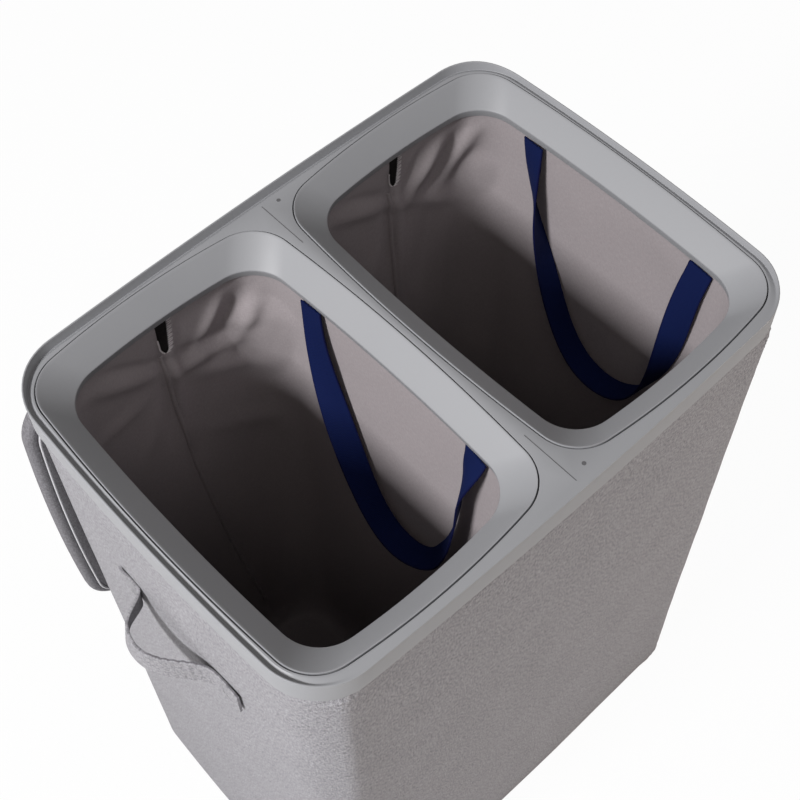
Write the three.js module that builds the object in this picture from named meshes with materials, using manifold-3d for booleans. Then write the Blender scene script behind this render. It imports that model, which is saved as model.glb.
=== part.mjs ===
import * as THREE from 'three';
import { mergeVertices } from 'three/addons/utils/BufferGeometryUtils.js';
import Module from 'manifold-3d';

// Laundry hamper with two lift-out bins. Millimetres, +Z up, origin at the centre of the base's underside.
// +X runs along the long side from the left bin to the right bin, and -Y is the open front.

const wasm = await Module();
wasm.setup();

const clearance = 0.3; // between neighbouring pieces
const overrun = 2; // how far a cutter runs past what it cuts
const deckHeight = 655; // top face of the frame above the floor

// The outlines are rounded rectangles whose sides bow outwards, each side one wide arc.
const frame = {
  outline: { halfX: 252, halfY: 180, sideRadius: 2280, endRadius: 5640, corner: 50 },
  skirtHeight: 24,
  skirtWall: 2.5,
  deckThickness: 3.2,
  edgeRound: 0.8,
  lipHeight: 6, // raised lip on the back and the two short sides
  lipWidth: 1.8,
  grooveInset: 4.2,
  grooveDepth: 2.5,
  plateauInset: 6.4,
  lipFadeStart: 4, // behind the front edge the lip starts to rise here
  lipFadeEnd: 40,
};

// Each ring fills its half of the frame, up to a margin on the outside and half of the web between the rings.
const ring = {
  sideMargin: 7.3,
  endMargin: 9.5,
  web: 6.6,
  sideRadius: 1706,
  endRadius: 643,
  corner: 37.9,
  funnelX: 21.5, // how much narrower the mouth is on each side
  funnelY: 21,
  mouthSideRadius: 1984,
  mouthEndRadius: 661,
  mouthCorner: 36,
  halfGap: 0.5, // half of the gap line between ring and deck
  edgeRound: 0.4,
  funnelDepth: 16.8,
  lipDepth: 9,
  lipUndercut: 2.3,
  wall: 2.2,
  seatDepth: 8, // ledge under the ring, below the deck's top face
  seatThickness: 3,
  seatWidth: 7.5,
  seatWall: 2.2,
};

const cover = {
  taperX: 5.2, // how much narrower the foot is on each side
  taperY: 6.7,
  cornerTaper: 2.2,
  thickness: 2,
  topDepth: 12, // hem inside the skirt, below the deck's top face
};

const band = { thickness: 2, height: 10 };
const board = { thickness: 2.5, cornerGap: 8, baseThickness: 4 };
const clamp = { thickness: 2, height: 9, drop: 5 };

const liner = {
  thickness: 2,
  bellyOut: 7.6, // how far the bag's widest part is outside the ring's mouth
  bellyCorner: 38,
  bellyDrop: 74, // below the bag's hem
  footTaperX: 1.2, // how far the foot is inside the ring's mouth
  footTaperY: 9.5,
  footCorner: 42,
  footHeight: 78,
  floorHeight: 40,
  floorInset: 16,
};

const loop = {
  width: 24,
  thickness: 1.6,
  endGap: 57.5, // from the mouth's end to the middle of the webbing's sewn end
  centreY: -6,
  sag: 214,
  inward: 17, // how far the lowest stretch hangs off the wall
  belowLip: 3, // room under the lip for the corners of the sewn ends
  catenaryShare: 2.2,
};

const handle = {
  width: 28,
  thickness: 2.4,
  height: 498, // centre of the sewn ends above the floor
  centreY: -6,
  halfLength: 74,
  tabLength: 24,
  riserLength: 12,
  riserReach: 15,
  reach: 31, // the strap's bulge off the panel
  droop: 3,
  leanDegrees: 7, // the free strap's outer face tips upwards by this at its middle
};

const lid = {
  insetX: 3.5, // inside the frame's outline
  insetY: 3,
  thickness: 12,
  skin: 1.5,
  foam: 4,
  board: 3,
  edgeRound: 4,
  pipingInset: 9,
  pipingRadius: 1.1,
};

// Fabric strip that the lid hangs from, sewn to the back panel under the skirt.
const strip = { thickness: 1.6, cornerGap: 10, rootDrop: 2, bindingThickness: 2.4, bindingHeight: 14 };

const count = { side: 2, corner: 8, round: 8, loopSteps: 32, strapSteps: 14 };

const finish = {
  plastic: { color: 0x9b9ca0, roughness: 0.5, metalness: 0 },
  hidden: { color: 0x6d6e70, roughness: 0.6, metalness: 0 },
  melange: { color: 0xaeacb0, roughness: 0.95, metalness: 0 },
  lining: { color: 0xa2969a, roughness: 0.9, metalness: 0 },
  webbing: { color: 0x1a2a78, roughness: 0.7, metalness: 0 },
  piping: { color: 0xb9b9bd, roughness: 0.8, metalness: 0 },
  card: { color: 0x8a7258, roughness: 0.9, metalness: 0 },
  foam: { color: 0xd8d6cf, roughness: 1, metalness: 0 },
};

const hamper = new THREE.Group();

function addPiece(name, geometry, look, place = new THREE.Vector3()) {
  const mesh = new THREE.Mesh(geometry, new THREE.MeshStandardMaterial(look));
  mesh.name = name;
  mesh.position.copy(place);
  hamper.add(mesh);
}

// The same outline moved inwards by a distance, or outwards where it is negative.
function inset(size, distance) {
  return {
    halfX: size.halfX - distance,
    halfY: size.halfY - distance,
    sideRadius: size.sideRadius - distance,
    endRadius: size.endRadius - distance,
    corner: size.corner - distance,
  };
}

// The same outline with some of its sizes changed by an amount each.
function adjusted(size, changes) {
  return Object.fromEntries(Object.entries(size).map(([key, value]) => [key, value + (changes[key] ?? 0)]));
}

function between(low, high, share) {
  return Object.fromEntries(
    Object.keys(low).map((key) => [key, THREE.MathUtils.lerp(low[key], high[key], share)]),
  );
}

// One quarter of an outline, from the middle of the +X side to the middle of the +Y side.
function quarter(size) {
  const sideCentre = new THREE.Vector2(size.halfX - size.sideRadius, 0);
  const endCentre = new THREE.Vector2(0, size.halfY - size.endRadius);
  const sideReach = size.sideRadius - size.corner;
  const endReach = size.endRadius - size.corner;
  const apart = endCentre.clone().sub(sideCentre);
  const span = apart.length();
  const along = (sideReach ** 2 - endReach ** 2 + span ** 2) / (2 * span);
  const across = Math.sqrt(sideReach ** 2 - along ** 2);
  const direction = apart.divideScalar(span);
  const corner = sideCentre
    .clone()
    .addScaledVector(direction, along)
    .addScaledVector(new THREE.Vector2(-direction.y, direction.x), across);
  const low = Math.atan2(corner.y - sideCentre.y, corner.x - sideCentre.x);
  const high = Math.atan2(corner.y - endCentre.y, corner.x - endCentre.x);
  const arc = (centre, radius, from, to, steps) =>
    new THREE.EllipseCurve(centre.x, centre.y, radius, radius, from, to).getPoints(steps);
  return [
    ...arc(sideCentre, size.sideRadius, 0, low, count.side),
    ...arc(corner, size.corner, low, high, count.corner).slice(1),
    ...arc(endCentre, size.endRadius, high, Math.PI / 2, count.side).slice(1),
  ];
}

// How far out an outline's short side is at a distance from its middle.
function sideAt(size, y) {
  return size.halfX - size.sideRadius + Math.sqrt(size.sideRadius ** 2 - y ** 2);
}

// The whole outline, anticlockwise from the middle of the +X side.
function loopPoints(size) {
  const first = quarter(size);
  const mirrored = (points, x, y) => points.map((point) => new THREE.Vector2(point.x * x, point.y * y));
  const back = [...first].reverse();
  return [
    ...first.slice(0, -1),
    ...mirrored(back, -1, 1).slice(0, -1),
    ...mirrored(first, -1, -1).slice(0, -1),
    ...mirrored(back, 1, -1).slice(0, -1),
  ];
}

// Places of the corners' middles in the list that loopPoints gives.
const quarterSteps = 2 * count.side + count.corner;
const cornerStep = quarterSteps / 2;

function section(size, height) {
  const level = typeof height === 'function' ? height : () => height;
  return loopPoints(size).map((point) => new THREE.Vector3(point.x, point.y, level(point)));
}

// Skins a list of closed sections of equal count. Its ends are joined to each other or capped.
// With paired diagonals the opposite walls of a thin, twisted strap stay parallel.
function loft(sections, ends, diagonals = 'turning') {
  const size = sections[0].length;
  const points = sections.flat();
  const faces = [];
  const spans = ends === 'joined' ? sections.length : sections.length - 1;
  for (let row = 0; row < spans; row += 1) {
    const next = (row + 1) % sections.length;
    for (let step = 0; step < size; step += 1) {
      const turn = (step + 1) % size;
      const [a, b] = [row * size + step, row * size + turn];
      const [c, d] = [next * size + step, next * size + turn];
      const paired = diagonals === 'paired' && step >= size / 2;
      faces.push(...(paired ? [a, b, c, b, d, c] : [a, b, d, a, d, c]));
    }
  }
  if (ends === 'capped') {
    for (const [row, flip] of [[0, true], [sections.length - 1, false]]) {
      const centre = points.length;
      const middle = new THREE.Vector3();
      sections[row].forEach((point) => middle.add(point));
      points.push(middle.divideScalar(size));
      for (let step = 0; step < size; step += 1) {
        const edge = [row * size + step, row * size + ((step + 1) % size)];
        faces.push(...(flip ? [edge[1], edge[0], centre] : [edge[0], edge[1], centre]));
      }
    }
  }
  return closedGeometry(points, faces);
}

// Turns the faces outwards by the sign of the volume that they enclose.
function closedGeometry(points, faces) {
  let volume = 0;
  for (let face = 0; face < faces.length; face += 3) {
    const [a, b, c] = [points[faces[face]], points[faces[face + 1]], points[faces[face + 2]]];
    volume += a.dot(new THREE.Vector3().crossVectors(b, c));
  }
  const turned = volume < 0 ? [...faces].reverse() : faces;
  const geometry = new THREE.BufferGeometry().setFromPoints(points);
  geometry.setIndex(turned);
  geometry.computeVertexNormals();
  return geometry;
}

function solid(geometry) {
  const bare = geometry.clone();
  bare.deleteAttribute('normal');
  bare.deleteAttribute('uv');
  const merged = mergeVertices(bare);
  const vertProperties = new Float32Array(merged.attributes.position.array);
  const triVerts = new Uint32Array(merged.index.array);
  return new wasm.Manifold(new wasm.Mesh({ numProp: 3, vertProperties, triVerts }));
}

function skin(body) {
  const mesh = body.getMesh();
  const geometry = new THREE.BufferGeometry();
  geometry.setAttribute('position', new THREE.BufferAttribute(mesh.vertProperties, 3));
  geometry.setIndex(new THREE.BufferAttribute(mesh.triVerts, 1));
  geometry.computeVertexNormals();
  return geometry;
}

// A band with a rectangular section that follows an outline.
function bandAround(size, thickness, low, high) {
  const inner = inset(size, thickness);
  return loft([section(size, low), section(size, high), section(inner, high), section(inner, low)], 'joined');
}

function plate(size, low, high) {
  return loft([section(size, low), section(size, high)], 'capped');
}

// Outlines of a ring and of its mouth.
const ringOutline = {
  halfX: (frame.outline.halfX - ring.sideMargin - ring.web / 2) / 2,
  halfY: frame.outline.halfY - ring.endMargin,
  sideRadius: ring.sideRadius,
  endRadius: ring.endRadius,
  corner: ring.corner,
};
const mouth = {
  halfX: ringOutline.halfX - ring.funnelX,
  halfY: ringOutline.halfY - ring.funnelY,
  sideRadius: ring.mouthSideRadius,
  endRadius: ring.mouthEndRadius,
  corner: ring.mouthCorner,
};
const ringOffset = ringOutline.halfX + ring.web / 2;

// Top frame: deck, raised lip with its groove, skirt, and a pocket with a ledge for each ring.
const pocket = inset(ringOutline, -ring.halfGap);
const skirtFoot = deckHeight - frame.skirtHeight;
const seatHeight = deckHeight - ring.seatDepth;

function lipShare(point) {
  const behindFront = point.y + frame.outline.halfY;
  return THREE.MathUtils.smoothstep(behindFront, frame.lipFadeStart, frame.lipFadeEnd);
}

function topFrame() {
  const rim = frame.outline;
  const inside = inset(rim, frame.skirtWall);
  const deckUnder = deckHeight - frame.deckThickness;
  const rise = (lift) => (point) => deckHeight + lipShare(point) * lift;
  const shell = loft(
    [
      section(inside, deckUnder),
      section(inside, skirtFoot),
      section(rim, skirtFoot),
      section(rim, (point) => rise(frame.lipHeight)(point) - frame.edgeRound),
      section(inset(rim, frame.edgeRound), rise(frame.lipHeight)),
      section(inset(rim, frame.lipWidth), rise(frame.lipHeight)),
      section(inset(rim, frame.grooveInset), rise(-frame.grooveDepth)),
      section(inset(rim, frame.plateauInset), deckHeight),
    ],
    'capped',
  );
  let body = solid(shell);
  const seatFoot = seatHeight - ring.seatThickness;
  const seatBlock = plate(inset(pocket, -ring.seatWall), seatFoot, deckHeight - frame.deckThickness / 2);
  const well = plate(pocket, seatHeight, deckHeight + frame.lipHeight + overrun);
  const hole = plate(inset(ringOutline, ring.seatWidth), seatFoot - overrun, seatHeight + overrun);
  const sides = [-ringOffset, ringOffset];
  for (const x of sides) {
    body = body.add(solid(seatBlock).translate([x, 0, 0]));
  }
  for (const x of sides) {
    body = body.subtract(solid(well).translate([x, 0, 0])).subtract(solid(hole).translate([x, 0, 0]));
  }
  return skin(body);
}
addPiece('top_frame', topFrame(), finish.plastic);

// Outer fabric: four panels sewn at the corners, a base, and the band that holds their top hem.
const coverTop = inset(frame.outline, frame.skirtWall + clearance);
const coverTopHeight = deckHeight - cover.topDepth;
const coverFoot = adjusted(coverTop, {
  halfX: -cover.taperX,
  halfY: -cover.taperY,
  corner: -cover.cornerTaper,
});

function coverAt(height) {
  return between(coverFoot, coverTop, height / coverTopHeight);
}

// A sheet between two steps of the cover's outline, some way inside its outer face.
function wallSheet(firstStep, lastStep, depth, thickness, low, high, endGap) {
  const total = 4 * quarterSteps;
  const edges = [[depth, low], [depth, high], [depth + thickness, high], [depth + thickness, low]].map(
    ([distance, height]) => section(inset(coverAt(height), distance), height),
  );
  const rows = [];
  for (let step = firstStep; step <= lastStep; step += 1) {
    rows.push(edges.map((edge) => edge[(step + total) % total].clone()));
  }
  const trim = (row, neighbour) =>
    row.forEach((point, index) => {
      const pull = neighbour[index].clone().sub(point);
      point.add(pull.setLength(endGap));
    });
  trim(rows[0], rows[1]);
  trim(rows[rows.length - 1], rows[rows.length - 2]);
  return loft(rows, 'capped');
}

const boardDepth = cover.thickness + clearance;
const boardFoot = cover.thickness + clearance;
const bandFoot = coverTopHeight - band.height;
const wallNames = ['right', 'back', 'left', 'front'];
wallNames.forEach((name, turn) => {
  const middle = turn * quarterSteps;
  addPiece(
    `${name}_panel`,
    wallSheet(middle - cornerStep, middle + cornerStep, 0, cover.thickness, 0, coverTopHeight, clearance / 2),
    finish.melange,
  );
  addPiece(
    `${name}_board`,
    wallSheet(
      middle - count.side,
      middle + count.side,
      boardDepth,
      board.thickness,
      boardFoot,
      bandFoot - clearance,
      board.cornerGap,
    ),
    finish.card,
  );
});
addPiece('base_panel', plate(inset(coverFoot, cover.thickness + clearance), 0, cover.thickness), finish.melange);
addPiece(
  'base_board',
  plate(inset(coverFoot, boardDepth + board.thickness + clearance), boardFoot, boardFoot + board.baseThickness),
  finish.card,
);
addPiece(
  'hem_band',
  bandAround(inset(coverTop, cover.thickness + clearance), band.thickness, bandFoot, coverTopHeight),
  finish.hidden,
);

// Lift-out bins: a funnel ring with an undercut lip, the bag, and the band that clamps the bag's hem.
const mouthHeight = deckHeight - ring.funnelDepth;
const lipFoot = mouthHeight - ring.lipDepth;
const lipOuter = ring.lipUndercut + ring.wall;
const hemHeight = lipFoot + clamp.drop;

function funnelRing() {
  const rim = inset(ringOutline, ring.halfGap);
  const flangeFoot = seatHeight + clearance;
  const seatEdge = ring.seatWidth - clearance;
  return loft(
    [
      section(rim, deckHeight - ring.edgeRound),
      section(inset(rim, ring.edgeRound), deckHeight),
      section(mouth, mouthHeight),
      section(inset(mouth, -ring.lipUndercut), lipFoot),
      section(inset(mouth, -lipOuter), lipFoot),
      section(inset(mouth, -lipOuter + clearance), hemHeight + clearance),
      section(inset(ringOutline, ring.seatWidth + ring.wall / 2), seatHeight - ring.wall / 2),
      section(inset(ringOutline, seatEdge), flangeFoot),
      section(rim, flangeFoot),
    ],
    'joined',
  );
}

const linerTop = inset(mouth, -lipOuter - clearance - liner.thickness);
const linerBelly = { ...inset(mouth, -liner.bellyOut), corner: liner.bellyCorner };
const linerFoot = {
  ...mouth,
  halfX: mouth.halfX - liner.footTaperX,
  halfY: mouth.halfY - liner.footTaperY,
  corner: liner.footCorner,
};

function linerBag() {
  const outer = [
    [linerTop, hemHeight],
    [linerTop, hemHeight - clamp.height - clearance],
    [linerBelly, hemHeight - liner.bellyDrop],
    [linerFoot, liner.footHeight],
    [inset(linerFoot, liner.floorInset), liner.floorHeight],
  ];
  const inner = outer.map(([size, height], index) => [
    inset(size, liner.thickness),
    index === outer.length - 1 ? height + liner.thickness : height,
  ]);
  return loft([...inner.reverse(), ...outer].map(([size, height]) => section(size, height)), 'capped');
}

// Flat strap: rectangular sections set across a path, each turned by its own angle.
function strap(stations, width, thickness) {
  const rows = stations.map(({ place, along, face }) => {
    const normal = face.clone().addScaledVector(along, -face.dot(along)).normalize();
    const across = new THREE.Vector3().crossVectors(along, normal);
    return [[1, 1], [1, -1], [-1, -1], [-1, 1]].map(([w, t]) =>
      place
        .clone()
        .addScaledVector(across, (w * width) / 2)
        .addScaledVector(normal, (t * thickness) / 2),
    );
  });
  return loft(rows, 'capped', 'paired');
}

// Directions along a path. Its two ends can be given theirs, so that a neighbour meets them squarely.
function tangents(places, ends) {
  return places.map((place, index) => {
    if (ends && (index === 0 || index === places.length - 1)) {
      return ends;
    }
    const before = places[Math.max(index - 1, 0)];
    const after = places[Math.min(index + 1, places.length - 1)];
    return after.clone().sub(before).normalize();
  });
}

// Webbing loop on the bag's side wall. It hangs like a chain and turns edge-on to the wall at its lowest point.
const loopTop = lipFoot - loop.belowLip;
const loopHalfSpan = mouth.halfY - loop.endGap;
const loopEndY = Math.abs(loop.centreY) + loopHalfSpan + loop.width / 2;
const loopWall = sideAt(inset(linerTop, liner.thickness), loopEndY) - clearance - loop.thickness / 2;

function webbingLoop(side) {
  const steepness = loop.catenaryShare;
  const places = [];
  const turns = [];
  for (let step = 0; step <= count.loopSteps; step += 1) {
    const lengthShare = (2 * step) / count.loopSteps - 1;
    const share = Math.asinh(lengthShare * Math.sinh(steepness)) / steepness;
    const hang = 1 - (Math.cosh(steepness * share) - 1) / (Math.cosh(steepness) - 1);
    places.push(
      new THREE.Vector3(
        side * (loopWall - loop.inward * hang),
        loop.centreY + loopHalfSpan * share,
        loopTop - loop.sag * hang,
      ),
    );
    turns.push((Math.PI / 2) * THREE.MathUtils.smoothstep(hang, 0, 1));
  }
  const inwards = new THREE.Vector3(-side, 0, 0);
  const stations = tangents(places).map((along, index) => {
    const start = inwards.clone().addScaledVector(along, -inwards.dot(along)).normalize();
    return { place: places[index], along, face: start.applyAxisAngle(along, side * turns[index]) };
  });
  return strap(stations, loop.width, loop.thickness);
}

for (const [name, sign] of [['left', -1], ['right', 1]]) {
  const place = new THREE.Vector3(sign * ringOffset, 0, 0);
  addPiece(`${name}_ring`, funnelRing(), finish.plastic, place);
  addPiece(`${name}_liner`, linerBag(), finish.lining, place);
  addPiece(
    `${name}_liner_clamp`,
    bandAround(inset(linerTop, -clearance - clamp.thickness), clamp.thickness, hemHeight - clamp.height, hemHeight),
    finish.hidden,
    place,
  );
  addPiece(`${name}_liner_loop_left`, webbingLoop(-1), finish.webbing, place);
  addPiece(`${name}_liner_loop_right`, webbingLoop(1), finish.webbing, place);
}

// Carry handles: a fabric strap on each short side, its sewn ends flat on the panel.
const handleWall = coverAt(handle.height + handle.width / 2).halfX + clearance + handle.thickness / 2;

function handleEnd(side, end) {
  const tabInner = handle.halfLength - handle.tabLength;
  const riserInner = tabInner - handle.riserLength;
  const places = [];
  for (const y of [handle.halfLength, tabInner]) {
    places.push(new THREE.Vector3(side * handleWall, handle.centreY + end * y, handle.height));
  }
  const steps = count.side * 2;
  for (let step = 1; step <= steps; step += 1) {
    const share = step / steps;
    const lift = handle.riserReach * THREE.MathUtils.smoothstep(share, 0, 1);
    const y = THREE.MathUtils.lerp(tabInner, riserInner, share);
    places.push(new THREE.Vector3(side * (handleWall + lift), handle.centreY + end * y, handle.height));
  }
  const outwards = new THREE.Vector3(side, 0, 0);
  const stations = tangents(places, new THREE.Vector3(0, -end, 0)).map((along, index) => ({
    place: places[index],
    along,
    face: outwards,
  }));
  return strap(stations, handle.width, handle.thickness);
}

function handleStrap(side) {
  const half = handle.halfLength - handle.tabLength - handle.riserLength - clearance;
  const places = [];
  for (let step = 0; step <= count.strapSteps; step += 1) {
    const share = (2 * step) / count.strapSteps - 1;
    const bulge = Math.cos((share * Math.PI) / 2) ** 2;
    const reach = handleWall + handle.riserReach + (handle.reach - handle.riserReach) * bulge;
    places.push(
      new THREE.Vector3(side * reach, handle.centreY + half * share, handle.height - handle.droop * bulge),
    );
  }
  const stations = tangents(places, new THREE.Vector3(0, 1, 0)).map((along, index) => {
    const share = (2 * index) / count.strapSteps - 1;
    const tip = THREE.MathUtils.degToRad(handle.leanDegrees) * Math.cos((share * Math.PI) / 2);
    const face = new THREE.Vector3(side * Math.cos(tip), 0, Math.sin(tip));
    return { place: places[index], along, face };
  });
  return strap(stations, handle.width, handle.thickness);
}

for (const [name, side] of [['left', -1], ['right', 1]]) {
  addPiece(`${name}_handle_strap`, handleStrap(side), finish.melange);
  addPiece(`${name}_handle_front_tab`, handleEnd(side, -1), finish.melange);
  addPiece(`${name}_handle_back_tab`, handleEnd(side, 1), finish.melange);
}

// The strip turns about its root, just outside the skirt, and the lid turns about the strip's far end. Closed,
// the strip stands up and the lid's lining lies on the lips. Open, the piping is next to the back panel and the
// strip leans outwards by an angle that brings it to the lining.
const root = new THREE.Vector3(
  0,
  frame.outline.halfY + clearance + strip.thickness / 2,
  skirtFoot - strip.rootDrop,
);
const stripLength = deckHeight + frame.lipHeight + clearance - root.z;
const pipingDepth = clearance + 2 * lid.pipingRadius;
const liningY = coverAt(root.z).halfY + clearance + pipingDepth + lid.thickness;
const lean =
  Math.asin((liningY - root.y) / Math.hypot(stripLength, strip.thickness / 2)) -
  Math.atan2(strip.thickness / 2, stripLength);
const downStrip = new THREE.Vector3(0, Math.sin(lean), -Math.cos(lean));
const offStrip = new THREE.Vector3(0, Math.cos(lean), Math.sin(lean));
const lidHinge = root
  .clone()
  .addScaledVector(downStrip, stripLength)
  .addScaledVector(offStrip, strip.thickness / 2);

const lidOutline = adjusted(frame.outline, { halfX: -lid.insetX, halfY: -lid.insetY });

// The strip's far edge follows the lid's bowed edge.
function hingeStrip() {
  const radius = lidOutline.endRadius;
  const halfWidth = quarter(lidOutline)[count.side + count.corner].x - strip.cornerGap;
  const halfTurn = Math.asin(halfWidth / radius);
  const shape = new THREE.Shape();
  shape.moveTo(-halfWidth, 0);
  shape.lineTo(halfWidth, 0);
  shape.absarc(0, stripLength + radius, radius, -Math.PI / 2 + halfTurn, -Math.PI / 2 - halfTurn, true);
  const geometry = new THREE.ExtrudeGeometry(shape, {
    depth: strip.thickness,
    bevelEnabled: false,
    curveSegments: 2 * count.side,
  });
  geometry.translate(0, 0, -strip.thickness / 2);
  const across = new THREE.Vector3(1, 0, 0);
  return geometry.applyMatrix4(new THREE.Matrix4().makeBasis(across, downStrip, offStrip).setPosition(root));
}
addPiece('lid_hinge_strip', hingeStrip(), finish.melange);

const bindingTop = root.z - clearance;
const backMiddle = wallNames.indexOf('back') * quarterSteps;
addPiece(
  'lid_hinge_binding',
  wallSheet(
    backMiddle - count.side,
    backMiddle + count.side,
    -clearance - strip.bindingThickness,
    strip.bindingThickness,
    bindingTop - strip.bindingHeight,
    bindingTop,
    strip.cornerGap,
  ),
  finish.melange,
);

// The lid is drawn lying flat, running from its hinge edge towards +Y with its outer face down, and then hung.
const hingeGap = clearance + strip.thickness * downStrip.y;
function hung(geometry) {
  geometry.translate(0, lidOutline.halfY + hingeGap, -lid.thickness / 2);
  geometry.rotateX(-Math.PI / 2);
  return geometry.translate(lidHinge.x, lidHinge.y, lidHinge.z);
}

function lidCover() {
  const half = lid.thickness / 2;
  const rim = lidOutline;
  const wall = lid.skin;
  return loft(
    [
      section(inset(rim, lid.edgeRound), -half + wall),
      section(inset(rim, wall), -half + lid.edgeRound),
      section(inset(rim, wall), half),
      section(rim, half),
      section(rim, -half + lid.edgeRound),
      section(inset(rim, lid.edgeRound), -half),
    ],
    'capped',
  );
}

function lidPiping() {
  const centre = inset(lidOutline, lid.pipingInset);
  const low = -lid.thickness / 2 - pipingDepth;
  const rows = [];
  for (let step = 0; step < count.round; step += 1) {
    const angle = (2 * Math.PI * step) / count.round;
    const out = lid.pipingRadius * Math.cos(angle);
    const up = lid.pipingRadius * (1 + Math.sin(angle));
    rows.push(section(inset(centre, -out), low + up));
  }
  return loft(rows, 'joined');
}

const lidInside = inset(lidOutline, lid.skin + clearance);
const foamFoot = -lid.thickness / 2 + lid.skin + clearance;
const foamSize = inset(lidOutline, lid.edgeRound + clearance);
const lidBoardFoot = foamFoot + lid.foam + clearance;
const liningFoot = lid.thickness / 2 - lid.skin;
addPiece('lid_cover', hung(lidCover()), finish.melange);
addPiece('lid_foam', hung(plate(foamSize, foamFoot, foamFoot + lid.foam)), finish.foam);
addPiece('lid_board', hung(plate(lidInside, lidBoardFoot, lidBoardFoot + lid.board)), finish.card);
addPiece('lid_lining', hung(plate(lidInside, liningFoot, lid.thickness / 2)), finish.lining);
addPiece('lid_piping', hung(lidPiping()), finish.piping);

export default hamper;
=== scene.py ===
import math

import bmesh
import bpy
from mathutils import Matrix, Vector, noise


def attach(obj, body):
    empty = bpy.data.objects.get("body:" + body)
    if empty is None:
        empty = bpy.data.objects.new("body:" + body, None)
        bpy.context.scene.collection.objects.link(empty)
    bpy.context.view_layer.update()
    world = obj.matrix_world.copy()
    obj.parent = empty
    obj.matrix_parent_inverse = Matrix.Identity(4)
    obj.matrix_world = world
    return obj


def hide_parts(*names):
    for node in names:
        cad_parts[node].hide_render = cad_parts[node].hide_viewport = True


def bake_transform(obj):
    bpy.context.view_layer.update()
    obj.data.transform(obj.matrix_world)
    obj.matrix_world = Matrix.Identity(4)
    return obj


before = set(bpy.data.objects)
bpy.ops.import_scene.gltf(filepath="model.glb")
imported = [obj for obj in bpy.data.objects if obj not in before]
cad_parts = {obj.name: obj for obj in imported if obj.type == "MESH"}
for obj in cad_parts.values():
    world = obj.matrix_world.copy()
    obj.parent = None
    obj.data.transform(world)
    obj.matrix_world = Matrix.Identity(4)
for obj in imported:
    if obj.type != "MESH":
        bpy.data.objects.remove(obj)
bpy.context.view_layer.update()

# A laundry hamper with two lift-out bins. Sizes are in millimetres, made metres where a vertex is placed.
mm = 0.001
leftAndRight = {"left": -1, "right": 1}
scene = bpy.context.scene
scene.view_settings.view_transform = "Standard"

# The camera, solved from the outlines of the frame and the rings
cameraSetup = {
    "lens": 65.74,
    "sensor": 36,
    "position": (-0.4225, -0.4665, 1.5433),
    "right": (0.733487, -0.679542, -0.014836),
    "view": (0.35834, 0.405151, -0.841098),
}


def placeCamera(setup):
    right = Vector(setup["right"]).normalized()
    view = Vector(setup["view"])
    view = (view - right * view.dot(right)).normalized()
    up = right.cross(view)
    camera = bpy.data.objects.new("camera", bpy.data.cameras.new("camera"))
    camera.data.lens = setup["lens"]
    camera.data.sensor_width = setup["sensor"]
    turn = Matrix((right, up, -view)).transposed().to_4x4()
    camera.matrix_world = Matrix.Translation(setup["position"]) @ turn
    scene.collection.objects.link(camera)
    scene.camera = camera


placeCamera(cameraSetup)
print("camera placed")


# Links the values that are sockets and sets the others.
def setInputs(tree, node, values):
    for key, value in values.items():
        if isinstance(value, bpy.types.NodeSocket):
            tree.links.new(value, node.inputs[key])
        else:
            node.inputs[key].default_value = value


def addNode(tree, kind, values=None, **settings):
    made = tree.nodes.new(kind)
    for key, value in settings.items():
        setattr(made, key, value)
    setInputs(tree, made, values or {})
    return made


def maths(tree, operation, *values):
    return addNode(tree, "ShaderNodeMath", dict(enumerate(values)), operation=operation).outputs[0]


# A value times its share, plus another value.
def addShare(tree, value, share, other):
    return maths(tree, "ADD", maths(tree, "MULTIPLY", value, share), other)


def noiseTexture(tree, vector, scale, detail, roughness=0.5):
    values = {"Vector": vector, "Scale": scale, "Detail": detail, "Roughness": roughness}
    return addNode(tree, "ShaderNodeTexNoise", values).outputs[0]


def mapRange(tree, value, low, high, toLow=0.0, toHigh=1.0):
    values = {"Value": value, "From Min": low, "From Max": high, "To Min": toLow, "To Max": toHigh}
    return addNode(tree, "ShaderNodeMapRange", values).outputs[0]


def mixColours(tree, share, first, second):
    values = {"Factor": share}
    for key, colour in (("A", first), ("B", second)):
        values[key] = (*colour, 1) if isinstance(colour, tuple) else colour
    return addNode(tree, "ShaderNodeMix", values, data_type="RGBA").outputs["Result"]


def bumpNormal(tree, height, strength, distance):
    values = {"Height": height, "Strength": strength, "Distance": distance}
    return addNode(tree, "ShaderNodeBump", values).outputs[0]


# A node group: a vector and named numbers go in, numbers come out.
def newGroup(name, numbers, results):
    group = bpy.data.node_groups.new(name, "ShaderNodeTree")
    group.interface.new_socket(name="Vector", in_out="INPUT", socket_type="NodeSocketVector")
    for label, value in numbers.items():
        socket = group.interface.new_socket(name=label, in_out="INPUT", socket_type="NodeSocketFloat")
        socket.default_value = value
    for label in results:
        group.interface.new_socket(name=label, in_out="OUTPUT", socket_type="NodeSocketFloat")
    return group, addNode(group, "NodeGroupInput").outputs, addNode(group, "NodeGroupOutput")


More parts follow.
